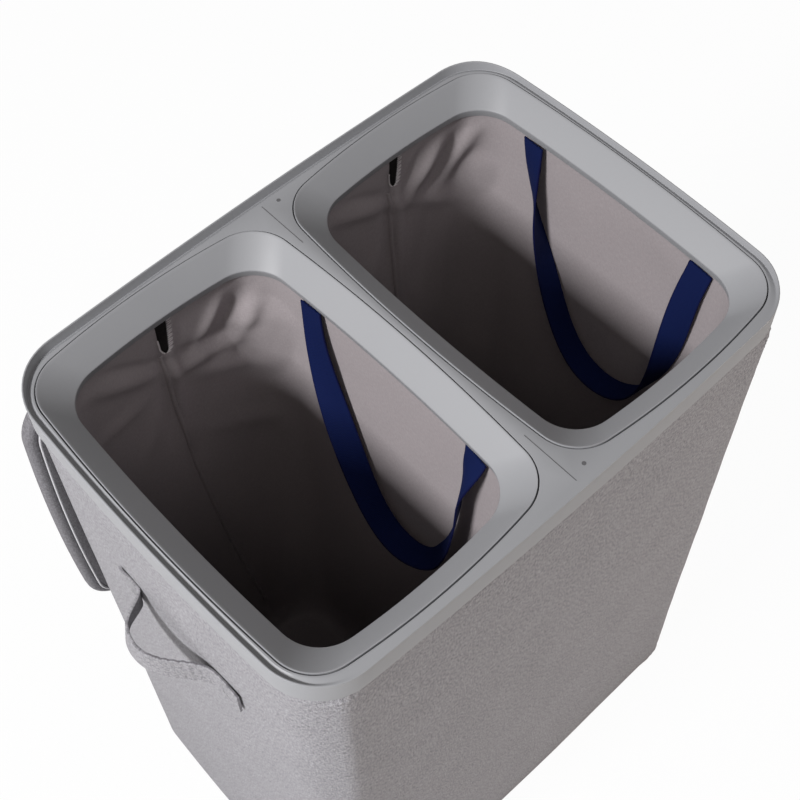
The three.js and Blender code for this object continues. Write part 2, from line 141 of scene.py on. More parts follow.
# Mixed light and dark fibres, with the threads of a plain weave. The vector is in metres.
def buildHeather():
    numbers = {"Threads per metre": 900, "Fibre length share": 0.2}
    group, given, out = newGroup("heather", numbers, ["Shade", "Height"])
    values = {0: given["Vector"], "Scale": given["Threads per metre"]}
    threads = addNode(group, "ShaderNodeVectorMath", values, operation="SCALE").outputs[0]
    x, y, z = addNode(group, "ShaderNodeSeparateXYZ", {0: threads}).outputs
    shortX = maths(group, "MULTIPLY", x, given["Fibre length share"])
    shortY = maths(group, "MULTIPLY", y, given["Fibre length share"])
    warp = addNode(group, "ShaderNodeCombineXYZ", {"X": x, "Y": shortY, "Z": z}).outputs[0]
    weft = addNode(group, "ShaderNodeCombineXYZ", {"X": shortX, "Y": y, "Z": z}).outputs[0]
    fibres = maths(group, "ADD", noiseTexture(group, warp, scale=0.55, detail=3, roughness=0.6),
                   noiseTexture(group, weft, scale=0.6, detail=3, roughness=0.6))
    cloud = noiseTexture(group, threads, scale=0.02, detail=2)
    over = maths(group, "SINE", maths(group, "MULTIPLY", x, math.pi))
    under = maths(group, "SINE", maths(group, "MULTIPLY", y, math.pi))
    setInputs(group, out, {
        "Shade": addShare(group, fibres, 0.47, maths(group, "MULTIPLY", cloud, 0.06)),
        "Height": addShare(group, maths(group, "MULTIPLY", over, under), 0.25, fibres),
    })
    return group


# Ribs across a woven tape, and the tighter edge where its weft turns back. U runs across, V along, in metres.
def buildRibs():
    numbers = {"Rib pitch": 0.0013, "Half width": 0.012}
    group, given, out = newGroup("tapeRibs", numbers, ["Shade", "Height", "Edge"])
    place = addNode(group, "ShaderNodeSeparateXYZ", {0: given["Vector"]}).outputs
    across = maths(group, "ABSOLUTE", place["X"])
    column = maths(group, "PINGPONG", across, 0.0022)
    slant = maths(group, "ADD", place["Y"], maths(group, "MULTIPLY", column, 0.5))
    phase = maths(group, "MULTIPLY", maths(group, "DIVIDE", slant, given["Rib pitch"]), 2 * math.pi)
    fuzz = noiseTexture(group, given["Vector"], scale=1300, detail=2, roughness=0.6)
    ribs = addShare(group, maths(group, "SINE", phase), 0.35, fuzz)
    setInputs(group, out, {
        "Shade": maths(group, "MULTIPLY", maths(group, "ADD", ribs, 0.2), 0.8),
        "Height": ribs,
        "Edge": mapRange(group, maths(group, "DIVIDE", across, given["Half width"]), 0.86, 0.97),
    })
    return group


# Fine spark-eroded grain of a moulding, with slow changes of gloss.
def buildGrain():
    group, given, out = newGroup("mouldGrain", {"Grain scale": 1500}, ["Height", "Shade", "Gloss"])
    grain = noiseTexture(group, given["Vector"], scale=given["Grain scale"], detail=2)
    slow = noiseTexture(group, given["Vector"], scale=14, detail=3, roughness=0.55)
    shade = addShare(group, slow, 0.7, maths(group, "MULTIPLY", grain, 0.3))
    setInputs(group, out, {"Height": grain, "Shade": shade, "Gloss": slow})
    return group


heatherGroup = buildHeather()
ribsGroup = buildRibs()
grainGroup = buildGrain()


def newMaterial(name, roughness, sheen=0.0):
    material = bpy.data.materials.new(name)
    material.use_nodes = True
    tree = material.node_tree
    shader = tree.nodes["Principled BSDF"]
    specular = 0.5 if roughness < 0.7 else 0.15  # cloth shines less than a moulding
    setInputs(tree, shader, {"Roughness": roughness, "Specular IOR Level": specular,
                             "Sheen Weight": sheen, "Sheen Roughness": 0.6})
    return material, tree, shader


def clothMaterial(name, look):
    material, tree, shader = newMaterial(name, look["roughness"], look["sheen"])
    coordinates = addNode(tree, "ShaderNodeTexCoord").outputs[look["coordinates"]]
    heather = addNode(tree, "ShaderNodeGroup", {
        "Vector": coordinates, "Threads per metre": look["threads"], "Fibre length share": look["fibreShare"],
    }, node_tree=heatherGroup).outputs
    contrast = mapRange(tree, heather["Shade"], 0.5 - look["spread"], 0.5 + look["spread"])
    setInputs(tree, shader, {
        "Base Color": mixColours(tree, contrast, look["dark"], look["light"]),
        "Normal": bumpNormal(tree, heather["Height"], look["bump"], look["depth"]),
    })
    return material


def plasticMaterial(name, look):
    material, tree, shader = newMaterial(name, look["roughness"])
    coordinates = addNode(tree, "ShaderNodeTexCoord").outputs["Object"]
    values = {"Vector": coordinates, "Grain scale": look["grain"]}
    grain = addNode(tree, "ShaderNodeGroup", values, node_tree=grainGroup).outputs
    low, high = look["roughness"] - 0.05, look["roughness"] + 0.05
    setInputs(tree, shader, {
        "Base Color": mixColours(tree, grain["Shade"], look["dark"], look["light"]),
        "Roughness": mapRange(tree, grain["Gloss"], 0.3, 0.7, low, high),
        "Normal": bumpNormal(tree, grain["Height"], look["bump"], 0.00015),
    })
    return material


def tapeMaterial(name, look):
    material, tree, shader = newMaterial(name, look["roughness"])
    coordinates = addNode(tree, "ShaderNodeTexCoord").outputs["UV"]
    values = {"Vector": coordinates, "Rib pitch": look["pitch"], "Half width": look["width"] * mm / 2}
    ribs = addNode(tree, "ShaderNodeGroup", values, node_tree=ribsGroup).outputs
    colour = mixColours(tree, ribs["Shade"], look["dark"], look["light"])
    setInputs(tree, shader, {
        "Base Color": mixColours(tree, ribs["Edge"], colour, look["edge"]),
        "Normal": bumpNormal(tree, ribs["Height"], 0.5, 0.0004),
    })
    return material


clothLook = {
    "roughness": 0.95, "sheen": 0.0, "coordinates": "UV", "threads": 1600, "fibreShare": 0.5, "spread": 0.2,
    "bump": 0.3, "depth": 0.0003,
}
outerLook = {**clothLook, "sheen": 0.03, "threads": 1250, "fibreShare": 0.35, "spread": 0.16}
threadLook = {
    "roughness": 0.8, "sheen": 0.1, "coordinates": "Object", "threads": 2500, "fibreShare": 1.0,
    "spread": 0.3, "bump": 0.4, "depth": 0.0002,
}
melange = clothMaterial("melangeCloth", {
    **outerLook, "dark": (0.17, 0.168, 0.178), "light": (0.52, 0.513, 0.54), "bump": 0.9, "depth": 0.0008,
})
# A darker copy of the melange with painted shade: used for the strap's side that faces the panel and for the
# lid's face that hangs behind the body
paintedShadeMelange = clothMaterial("lidClothPaintedShade", {
    **outerLook, "dark": (0.11, 0.108, 0.117), "light": (0.27, 0.265, 0.282), "bump": 0.7, "depth": 0.0007,
})
bagCloth = clothMaterial("bagCloth", {
    **clothLook, "roughness": 0.9, "sheen": 0.02, "fibreShare": 0.25,
    "dark": (0.298, 0.27, 0.276), "light": (0.394, 0.357, 0.367),
})
# Painted shade: a near-black cloth for the sheet that stands in for the shadow inside the slit
slitShadeSheet = clothMaterial("slitShade", {
    **clothLook, "coordinates": "Object", "bump": 0.2,
    "dark": (0.006, 0.005, 0.005), "light": (0.02, 0.018, 0.018),
})
threadCloth = clothMaterial("sewingThread", {
    **threadLook, "dark": (0.3, 0.3, 0.31), "light": (0.42, 0.42, 0.43),
})
bagThread = clothMaterial("overlockThread", {
    **threadLook, "dark": (0.5, 0.47, 0.48), "light": (0.7, 0.66, 0.67),
})
pipingCloth = clothMaterial("pipingCloth", {
    **clothLook, "roughness": 0.85, "sheen": 0.15, "threads": 1500, "fibreShare": 0.3, "bump": 0.4,
    "dark": (0.46, 0.46, 0.48), "light": (0.6, 0.6, 0.62),
})
boardFibre = clothMaterial("boardFibre", {
    **clothLook, "roughness": 0.9, "coordinates": "Object", "threads": 500, "spread": 0.25,
    "dark": (0.2, 0.14, 0.09), "light": (0.33, 0.25, 0.17),
})
navyTape = tapeMaterial("navyWebbing", {
    "roughness": 0.8, "pitch": 0.0016, "width": 24,
    "dark": (0.001, 0.0025, 0.026), "light": (0.005, 0.015, 0.088), "edge": (0.002, 0.004, 0.042),
})
framePlastic = plasticMaterial("framePlastic", {
    "roughness": 0.5, "grain": 1500, "bump": 0.25,
    "dark": (0.295, 0.302, 0.316), "light": (0.325, 0.332, 0.346),
})
hiddenPlastic = plasticMaterial("hiddenPlastic", {
    "roughness": 0.6, "grain": 1200, "bump": 0.3, "dark": (0.14, 0.14, 0.145), "light": (0.17, 0.17, 0.175),
})
markInk = plasticMaterial("markGrey", {
    "roughness": 0.6, "grain": 1800, "bump": 0.3, "dark": (0.1, 0.1, 0.105), "light": (0.14, 0.14, 0.145),
})
print("materials made")


# Outlines are rounded rectangles whose sides bow outwards, each side one wide arc.
frameDetail = {"side": 10, "corner": 14, "end": 10}


def inset(size, distance):
    return {key: value - distance for key, value in size.items()}


def adjusted(size, **changes):
    return {key: value + changes.get(key, 0) for key, value in size.items()}


def between(low, high, share):
    return {key: low[key] + (high[key] - low[key]) * share for key in low}


def smoothStep(value, low, high):
    share = min(max((value - low) / (high - low), 0), 1)
    return share * share * (3 - 2 * share)


def arcPoints(centre, radius, start, stop, steps):
    angles = [start + (stop - start) * step / steps for step in range(steps + 1)]
    return [centre + Vector((math.cos(angle), math.sin(angle))) * radius for angle in angles]


def outlineQuarter(size, detail):
    sideCentre = Vector((size["halfX"] - size["sideRadius"], 0))
    endCentre = Vector((0, size["halfY"] - size["endRadius"]))
    sideReach = size["sideRadius"] - size["corner"]
    endReach = size["endRadius"] - size["corner"]
    apart = endCentre - sideCentre
    span = apart.length
    along = (sideReach ** 2 - endReach ** 2 + span ** 2) / (2 * span)
    across = math.sqrt(sideReach ** 2 - along ** 2)
    direction = apart / span
    corner = sideCentre + direction * along + Vector((-direction.y, direction.x)) * across
    low = math.atan2(corner.y - sideCentre.y, corner.x - sideCentre.x)
    high = math.atan2(corner.y - endCentre.y, corner.x - endCentre.x)
    side = arcPoints(sideCentre, size["sideRadius"], 0, low, detail["side"])
    bend = arcPoints(corner, size["corner"], low, high, detail["corner"])
    end = arcPoints(endCentre, size["endRadius"], high, math.pi / 2, detail["end"])
    return side + bend[1:] + end[1:]


# The whole outline at a height, which is a number or a function of the point.
def section(size, height, centreX=0, detail=frameDetail):
    first = outlineQuarter(size, detail)
    back = first[::-1]
    turns = [(first, 1, 1), (back, -1, 1), (first, -1, -1), (back, 1, -1)]
    flat = [Vector((point.x * x, point.y * y)) for points, x, y in turns for point in points[:-1]]
    level = height if callable(height) else lambda point: height
    return [Vector((point.x + centreX, point.y, level(point))) * mm for point in flat]


# Sections of one outline, from pairs of how far it is drawn in and its height.
def drawnIn(size, pairs, centreX=0, detail=frameDetail):
    return [section(inset(size, distance), height, centreX, detail) for distance, height in pairs]


# Rounds the edges of a list of sections: each named row becomes a small curve of that radius, which
# reaches no further than a share of the way to the next rows.
def roundedSections(sections, radii, joined=False, steps=4, reachShare=0.45):
    result = []
    last = len(sections) - 1
    for row, points in enumerate(sections):
        radius = radii.get(row, 0) * mm
        if not radius or (not joined and row in (0, last)):
            result.append(points)
            continue
        before, after = sections[row - 1], sections[(row + 1) % len(sections)]
        for step in range(steps + 1):
            share = step / steps
            curve = []
            for point, back, ahead in zip(points, before, after):
                start = point + (back - point).normalized() * min(radius, (back - point).length * reachShare)
                stop = point + (ahead - point).normalized() * min(radius, (ahead - point).length * reachShare)
                curve.append(start * (1 - share) ** 2 + point * 2 * share * (1 - share) + stop * share ** 2)
            result.append(curve)
    return result


# Lofts start as one loop of edges, which is extruded from section to section.
def newBody():
    bm = bmesh.new()
    bm.verts.layers.int.new("step")
    bm.verts.layers.int.new("row")
    bm.loops.layers.uv.new("cloth")
    return bm


def bodyLayers(bm):
    return bm.verts.layers.int["step"], bm.verts.layers.int["row"], bm.loops.layers.uv["cloth"]


def startLoop(bm, points):
    step = bm.verts.layers.int["step"]
    verts = []
    for index, point in enumerate(points):
        vert = bm.verts.new(point)
        vert[step] = index
        verts.append(vert)
    return [bm.edges.new((verts[index], verts[(index + 1) % len(verts)])) for index in range(len(verts))]


def growLoop(bm, edges, points, row):
    step, rowLayer, _ = bodyLayers(bm)
    grown = bmesh.ops.extrude_edge_only(bm, edges=edges)["geom"]
    verts = {part for part in grown if isinstance(part, bmesh.types.BMVert)}
    for vert in verts:
        vert.co = points[vert[step]]
        vert[rowLayer] = row
    return [part for part in grown if isinstance(part, bmesh.types.BMEdge) and set(part.verts) <= verts]


# Lays the cloth's UV map in metres: U along a section, V from section to section.
def layCloth(bm, faces, sections):
    step, rowLayer, uv = bodyLayers(bm)
    middle = sections[len(sections) // 2]
    around = [0]
    for index in range(len(middle)):
        around.append(around[-1] + (middle[(index + 1) % len(middle)] - middle[index]).length)
    along = [0]
    for low, high in zip(sections, sections[1:] + sections[:1]):
        along.append(along[-1] + sum((b - a).length for a, b in zip(low, high)) / len(low))
    for face in faces:
        steps = [vert[step] for vert in face.verts]
        rows = [vert[rowLayer] for vert in face.verts]
        stepWrap = max(steps) - min(steps) > 1
        rowWrap = max(rows) - min(rows) > 1
        for corner in face.loops:
            index, row = corner.vert[step], corner.vert[rowLayer]
            index = len(middle) if stepWrap and index == 0 else index
            row = len(sections) if rowWrap and row == 0 else row
            corner[uv].uv = (around[index], along[row])


def loft(bm, sections, ends="open"):
    known = set(bm.faces)
    first = edges = startLoop(bm, sections[0])
    for row, points in enumerate(sections[1:], 1):
        edges = growLoop(bm, edges, points, row)
    if ends == "joined":
        growLoop(bm, edges, sections[0], 0)
        bmesh.ops.remove_doubles(bm, verts=bm.verts[:], dist=1e-7)
    layCloth(bm, [face for face in bm.faces if face not in known], sections)
    if ends == "capped":
        for loop in (first, edges):
            bmesh.ops.contextual_create(bm, geom=loop)
    return first, edges


def finishPiece(bm, name, material, body, replaces=(), sharp=35):
    bmesh.ops.recalc_face_normals(bm, faces=bm.faces[:])
    mesh = bpy.data.meshes.new(name)
    bm.to_mesh(mesh)
    bm.free()
    mesh.polygons.foreach_set("use_smooth", [True] * len(mesh.polygons))
    mesh.set_sharp_from_angle(angle=math.radians(sharp))
    piece = bpy.data.objects.new(name, mesh)
    scene.collection.objects.link(piece)
    mesh.materials.append(material)
    if body:
        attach(piece, body)
    if replaces:
        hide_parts(*replaces)
    print("made", name, len(mesh.polygons), "faces")
    return piece


def loftPiece(sections, name, material, body, replaces=(), sharp=60, ends="capped"):
    bm = newBody()
    loft(bm, sections, ends)
    return finishPiece(bm, name, material, body, replaces, sharp)


# Soft waves of a cloth: each layer has its share, its three frequencies and its seed.
def clothWaves(place, layers, shift=0):
    total = 0
    for share, frequencies, seed in layers:
        x, y, z = (value * frequency for value, frequency in zip(place, frequencies))
        total += share * noise.noise(Vector((x + shift, y, z + seed)))
    return total


# The moulded top frame
deckHeight = 655
frameSize = {
    "outline": {"halfX": 252, "halfY": 180, "sideRadius": 2280, "endRadius": 5640, "corner": 50},
    "skirtHeight": 24, "skirtWall": 2.5, "deckThickness": 3.2, "lipHeight": 6, "lipWidth": 1.3,
    "sideLipShare": 0.4, "grooveInset": 2.9, "grooveDepth": 2.5, "plateauInset": 6.4,
    # where the lip changes: distances from the front, then values of y
    "frontFade": (4, 40), "backRise": (132, 172),
    # the edge of an opening: how far out and how far down
    "wellEdge": ((0.45, 0), (0.13, 0.13), (0, 0.45)),
}
ringSize = {
    "outline": {"halfX": 120.7, "halfY": 170.5, "sideRadius": 1706, "endRadius": 643, "corner": 37.9},
    "mouth": {"halfX": 99.2, "halfY": 149.5, "sideRadius": 1984, "endRadius": 661, "corner": 36},
    "offset": 124, "halfGap": 0.5, "bead": 0.9, "beadWidth": 1.9, "beadDrop": 0.3, "funnelDepth": 16.8,
    "lipDepth": 9, "lipUndercut": 2.3, "wall": 2.2, "hemHeight": 5, "seatDepth": 8, "seatThickness": 3,
    "seatWidth": 7.5, "seatWall": 2.2, "clearance": 0.3,
}


def buildTopFrame(size, ring):
    rim = size["outline"]
    under = deckHeight - size["deckThickness"]
    foot = deckHeight - size["skirtHeight"]
    seat = deckHeight - ring["seatDepth"]
    seatFoot = seat - ring["seatThickness"]
    pocket, hole, block = -ring["halfGap"], ring["seatWidth"], -ring["halfGap"] - ring["seatWall"]

    # the lip is low along the two sides, rises to its full height round the back and fades out at the front
    def rise(lift, alongSides=1.0):
        def heightAt(point):
            fade = smoothStep(point.y + rim["halfY"], *size["frontFade"])
            back = smoothStep(point.y, *size["backRise"])
            return deckHeight + lift * fade * (alongSides + (1 - alongSides) * back)
        return heightAt

    lip = rise(size["lipHeight"], size["sideLipShare"])
    rows = drawnIn(rim, [
        (size["skirtWall"], under), (size["skirtWall"], foot), (0, foot), (0, lip), (size["lipWidth"], lip),
        (size["grooveInset"], rise(-size["grooveDepth"])), (size["plateauInset"], deckHeight),
    ])
    bm = newBody()
    underEdges, deckEdges = loft(bm, roundedSections(rows, {1: 0.4, 2: 0.6, 3: 0.6, 4: 0.55, 5: 0.9}))
    for side in leftAndRight.values():
        well = [(pocket - out, deckHeight - drop) for out, drop in size["wellEdge"]]
        well += [(pocket, seat), (hole, seat), (hole, seatFoot), (block, seatFoot), (block, under)]
        top, bottom = loft(bm, drawnIn(ring["outline"], well, side * ring["offset"]))
        deckEdges = deckEdges + top
        underEdges = underEdges + bottom
    bmesh.ops.triangle_fill(bm, edges=deckEdges, use_beauty=True, normal=(0, 0, 1))
    bmesh.ops.triangle_fill(bm, edges=underEdges, use_beauty=True, normal=(0, 0, -1))
    finishPiece(bm, "top_moulding", framePlastic, "body", ["top_frame"], sharp=30)


def buildRing(name, side, size):
    x = side * size["offset"]
    gap, wall, clearance = size["halfGap"], size["wall"], size["clearance"]
    mouthHeight = deckHeight - size["funnelDepth"]
    lipFoot = mouthHeight - size["lipDepth"]
    outer = size["lipUndercut"] + wall
    seat = deckHeight - size["seatDepth"]
    rows = drawnIn(size["outline"], [
        (gap, deckHeight + size["bead"]), (gap + size["beadWidth"], deckHeight - size["beadDrop"]),
    ], x)
    rows += drawnIn(size["mouth"], [
        (0, mouthHeight), (-size["lipUndercut"], lipFoot), (-outer, lipFoot),
        (clearance - outer, lipFoot + size["hemHeight"] + clearance),
    ], x)
    rows += drawnIn(size["outline"], [
        (size["seatWidth"] + wall / 2, seat - wall / 2), (size["seatWidth"] - clearance, seat + clearance),
        (gap, seat + clearance),
    ], x)
    rows = roundedSections(rows, {0: 1.1, 1: 0.6, 2: 1.1, 3: 0.8, 4: 0.8, 6: 2, 8: 0.4}, joined=True)
    loftPiece(rows, f"{name}_funnel", framePlastic, f"{name}_bin", [f"{name}_ring"],
              sharp=40, ends="joined")


buildTopFrame(frameSize, ringSize)
for name, side in leftAndRight.items():
    buildRing(name, side, ringSize)


# Plain marks on the web between the bins: at each end a fine rule, with an open ring on its left and a dot
# on its right
markSize = {
    "rules": ((-172, -121), (120, 170)), "width": 0.7, "ringRadius": 2.2, "ringLine": 0.7, "dotRadius": 1.7,
    "sideways": 14, "ends": (-166, 166), "proud": 0.1, "segments": 28, "gap": 0.01,
}


def buildMarks(size):
    bm = newBody()
    for low, high in size["rules"]:
        rule = bmesh.ops.create_cube(bm, size=1)["verts"]
        middle = Vector((0, (low + high) / 2, deckHeight + size["proud"] / 2)) * mm
        bmesh.ops.scale(bm, verts=rule, vec=Vector((size["width"], high - low, size["proud"])) * mm)
        bmesh.ops.translate(bm, verts=rule, vec=middle)
    for place in size["ends"]:
        for side in leftAndRight.values():
            radius = (size["dotRadius"] if side > 0 else size["ringRadius"]) * mm
            circle = bmesh.ops.create_circle(bm, cap_ends=True, radius=radius, segments=size["segments"])
            disc = circle["verts"]
            at = Vector((side * size["sideways"], place, deckHeight + size["gap"])) * mm
            bmesh.ops.translate(bm, verts=disc, vec=at)
            faces = list({face for vert in disc for face in vert.link_faces})
            if side < 0:
                bmesh.ops.inset_region(bm, faces=faces, thickness=size["ringLine"] * mm)
                bmesh.ops.delete(bm, geom=faces, context="FACES")
                faces = list({face for vert in disc if vert.is_valid for face in vert.link_faces})
            raised = bmesh.ops.extrude_face_region(bm, geom=faces)["geom"]
            bmesh.ops.translate(bm, verts=[part for part in raised if isinstance(part, bmesh.types.BMVert)],
                                vec=Vector((0, 0, size["proud"])) * mm)
    finishPiece(bm, "deck_marks", markInk, "body")


buildMarks(markSize)
print("frame and rings made")


# The outer cover: one shell of cloth with a seam at each corner
coverSize = {
    "top": inset(frameSize["outline"], frameSize["skirtWall"] + 0.3), "topHeight": 643, "thickness": 2,
    "taperX": 5.2, "taperY": 6.7, "cornerTaper": 2.2, "waveRoom": 0.6,
    "base": [(3, 0), (0.9, 0.8)], "lowHeights": [3, 6, 10, 15, 21, 28, 36, 46, 60],
    "runs": [(60, 15.5, 32), (556, 6, 4), (580, 1.75, 32)],  # from a height, at a pitch, so many rows
    "innerHeights": (643, 560, 300, 60, 6, 2.2),
    "wave": 0.7, "waves": [(1, (0.009, 0.007, 0), 3.1), (0.2, (0.03, 0.02, 0), 7)],
    # the seam, the ridge beside it and the puckers that cross it, strongest at the top
    "seamShare": 0.72, "seamDepth": 0.9, "seamWidth": 1.3, "ridge": 4.2, "ridgeReach": 11,
    "pucker": 1.2, "puckerPitch": 8.5, "puckerSlope": 0.48, "puckerReach": 20,
    "puckerDrift": [(2.4, (0.05, 0.03, 0), 11)],
    "middleShare": 0.12, "topShare": 0.88, "topZone": (585, 632), "footShare": 0.4, "footZone": (6, 40),
    # the cloth is flat under the skirt, against the lid and under the straps' sewn ends
    "skirtZone": (621, 630), "edgeDepth": 1.0, "edgeZone": (621.1, 623.1),
    "backFacing": 0.7, "backLimit": 0.1,
    "tabY": -6, "tabZ": 498, "tabZoneY": (76, 96), "tabZoneZ": (16, 34), "tabFacing": (0.8, 0.95),
}
coverDetail = {"side": 16, "corner": 26, "end": 22}
coverFoot = adjusted(coverSize["top"], halfX=-coverSize["taperX"], halfY=-coverSize["taperY"],
                     corner=-coverSize["cornerTaper"])


def coverAt(height):
    return between(coverFoot, coverSize["top"], height / coverSize["topHeight"])


def outwardNormals(points):
    normals = []
    for index in range(len(points)):
        along = points[(index + 1) % len(points)] - points[index - 1]
        normals.append(Vector((along.y, -along.x, 0)).normalized())
    return normals


# For each point of a section, how far it is from the nearest seam, and how far round the section it lies.
def seamDistances(points, detail):
    quarter = detail["side"] + detail["corner"] + detail["end"]
    reach = round(detail["corner"] * coverSize["seamShare"])
    seams = [detail["side"] + reach, quarter + detail["end"] + detail["corner"] - reach]
    seams += [index + 2 * quarter for index in seams]
    around = [0]
    for index in range(len(points)):
        around.append(around[-1] + (points[(index + 1) % len(points)] - points[index]).length / mm)
    total = around[-1]
    spans = []
    for place in around[:-1]:
        apart = [place - around[seam] for seam in seams]
        apart = [(gap + total / 2) % total - total / 2 for gap in apart]
        spans.append(min(apart, key=abs))
    return spans, around


def coverRelief(point, normal, fromSeam, along, size):
    y, z = point.y / mm, point.z / mm
    relief = size["wave"] * clothWaves((along, z, 0), size["waves"])
    near = math.exp(-(fromSeam / size["puckerReach"]) ** 2)
    level = size["middleShare"] + size["topShare"] * smoothStep(z, *size["topZone"])
    level += size["footShare"] * (1 - smoothStep(z, *size["footZone"]))
    drift = clothWaves((along, z, 0), size["puckerDrift"])
    phase = 2 * math.pi * (z + abs(fromSeam) * size["puckerSlope"]) / size["puckerPitch"] + drift
    relief += size["pucker"] * near * level * math.sin(phase)
    relief += size["ridge"] * math.exp(-abs(fromSeam) / size["ridgeReach"])
    relief -= size["seamDepth"] * math.exp(-(fromSeam / size["seamWidth"]) ** 2)
    if relief > 0:
        relief *= 1 - smoothStep(z, *size["skirtZone"])
    relief -= size["edgeDepth"] * smoothStep(z, *size["edgeZone"])
    if normal.y > size["backFacing"]:
        relief = min(relief, size["backLimit"])
    onTab = 1 - smoothStep(abs(y - size["tabY"]), *size["tabZoneY"])
    onTab *= 1 - smoothStep(abs(z - size["tabZ"]), *size["tabZoneZ"])
    onTab *= smoothStep(abs(normal.x), *size["tabFacing"])
    return relief * (1 - onTab)


def buildCover(size):
    heights = list(size["lowHeights"])
    for start, pitch, rows in size["runs"]:
        heights += [start + step * pitch for step in range(1, rows + 1)]
    heights.append(size["topHeight"])
    outer = []
    for height in heights:
        points = section(coverAt(height), height, detail=coverDetail)
        spans, around = seamDistances(points, coverDetail)
        normals = outwardNormals(points)
        outer.append([point + normal * coverRelief(point, normal, span, along, size) * mm
                      for point, normal, span, along in zip(points, normals, spans, around)])
    inner = [section(inset(coverAt(height), size["thickness"] + size["waveRoom"]), height, detail=coverDetail)
             for height in size["innerHeights"]]
    base = drawnIn(coverFoot, size["base"], detail=coverDetail)
    loftPiece(base + outer + inner, "outer_cover", melange, "body",
              ["left_panel", "right_panel", "front_panel", "back_panel", "base_panel"], sharp=50)


buildCover(coverSize)
print("cover made")


# Straps and tapes: a profile is carried along stations, each a place, its direction and the way it faces.
tapeShape = {"margin": 0.35, "dipWidth": 0.8, "edgeShare": 0.4}


def tapeSections(stations, profile):
    rows = []
    for place, along, face in stations:
        normal = (face - along * face.dot(along)).normalized()
        across = along.cross(normal)
        rows.append([(place + across * w + normal * t) * mm for w, t in profile])
    return rows


def pathDirections(places, start=None, stop=None):
    directions = []
    for index in range(len(places)):
        before, after = places[max(index - 1, 0)], places[min(index + 1, len(places) - 1)]
        directions.append((after - before).normalized())
    if start:
        directions[0] = start
    if stop:
        directions[-1] = stop
    return directions


def tapeProfile(width, thickness, columns, dips=()):
    half, lift = width / 2, thickness / 2
    flat = half - tapeShape["margin"]
    top = []
    for step in range(columns + 1):
        w = flat - 2 * flat * step / columns
        dip = sum(depth * math.exp(-((w - place) / tapeShape["dipWidth"]) ** 2) for place, depth in dips)
        top.append((w, lift - dip))
    low = lift * tapeShape["edgeShare"]
    bottom = [(-w, -t) for w, t in top]
    return top + [(-half, low), (-half, -low)] + bottom + [(half, -low), (half, low)]


# Lofts a tape and lays its UV map from its own width and length, with U nothing along its middle.
def tapeBody(stations, profile):
    bm = newBody()
    loft(bm, tapeSections(stations, profile), "capped")
    step, rowLayer, uv = bodyLayers(bm)
    lengths = [0]
    for (first, *_), (second, *_) in zip(stations, stations[1:]):
        lengths.append(lengths[-1] + (second - first).length * mm)
    for face in bm.faces:
        for corner in face.loops:
            w = profile[corner.vert[step]][0] * mm
            corner[uv].uv = (w, lengths[min(corner.vert[rowLayer], len(lengths) - 1)])
    return bm


# Rows of stitches: each one a short, slim bead that follows its path
stitchSize = {"length": 2.6, "pitch": 3.6, "radius": 0.28}
beadDetail = {"u_segments": 6, "v_segments": 4}


def walkPath(points, pitch):
    places = []
    distance = pitch / 2
    for first, second in zip(points, points[1:]):
        span = (second - first).length
        while distance <= span:
            places.append((first.lerp(second, distance / span), (second - first).normalized()))
            distance += pitch
        distance -= span
    return places


def sewRow(bm, points, size=stitchSize):
    for place, along in walkPath(points, size["pitch"]):
        bead = bmesh.ops.create_uvsphere(bm, radius=1, **beadDetail)["verts"]
        turn = along.to_track_quat("Z", "Y").to_matrix().to_4x4()
        shape = Matrix.Diagonal((size["radius"], size["radius"], size["length"] / 2, 1))
        move = Matrix.Translation(place) @ turn @ shape
        bmesh.ops.transform(bm, matrix=Matrix.Scale(mm, 4) @ move, verts=bead)


# The bags: one lofted shell each, with its back seam, the short slit left open at the top of it, and folds
bagSize = {
    "thickness": 1.2, "clampStraight": 9.3, "hem": 634.2, "top": inset(ringSize["mouth"], -6.8),
    "belly": {**inset(ringSize["mouth"], -7.4), "corner": 38}, "bellyHeight": 560.2,
    "foot": {**ringSize["mouth"], "halfX": 98, "halfY": 140, "corner": 42}, "footHeight": 78,
    "floorInset": 16, "floorHeight": 40, "floorShares": (0.86, 0.7, 0.5, 0.28, 0.1),
    "hemRow": 4.5, "upperPitch": 4.2, "upperRows": 52, "lowerRows": 30, "floorRows": 6,
    "limits": (-13, 3), "wave": 1.7, "apart": {"left": 0, "right": 40},  # what sets the two bags' waves apart
    "waves": [(1, (0.011, 0.011, 0.0035), 5), (0.5, (0.03, 0.03, 0.012), 9), (0.16, (0.09, 0.09, 0.05), 3)],
    # how deep below the hem each effect begins, and which way the back wall faces
    "waveZone": (12, 60), "foldZone": (10, 26), "ridgeZone": (14, 30), "wrinkleZone": (330, 400),
    "backFacing": (0.5, 0.85), "creaseRound": 16, "ridge": 1.3, "ridgeReach": 5,
    "wrinkle": 1.1, "wrinklePitch": 19, "wrinkleSlope": 0.5, "wrinkleReach": 26, "wrinkleTurn": 0.05,
    "seamDrift": {"height": 520, "reach": 320, "power": 1.6},
}
bagDetail = {"side": 20, "corner": 14, "end": 34}
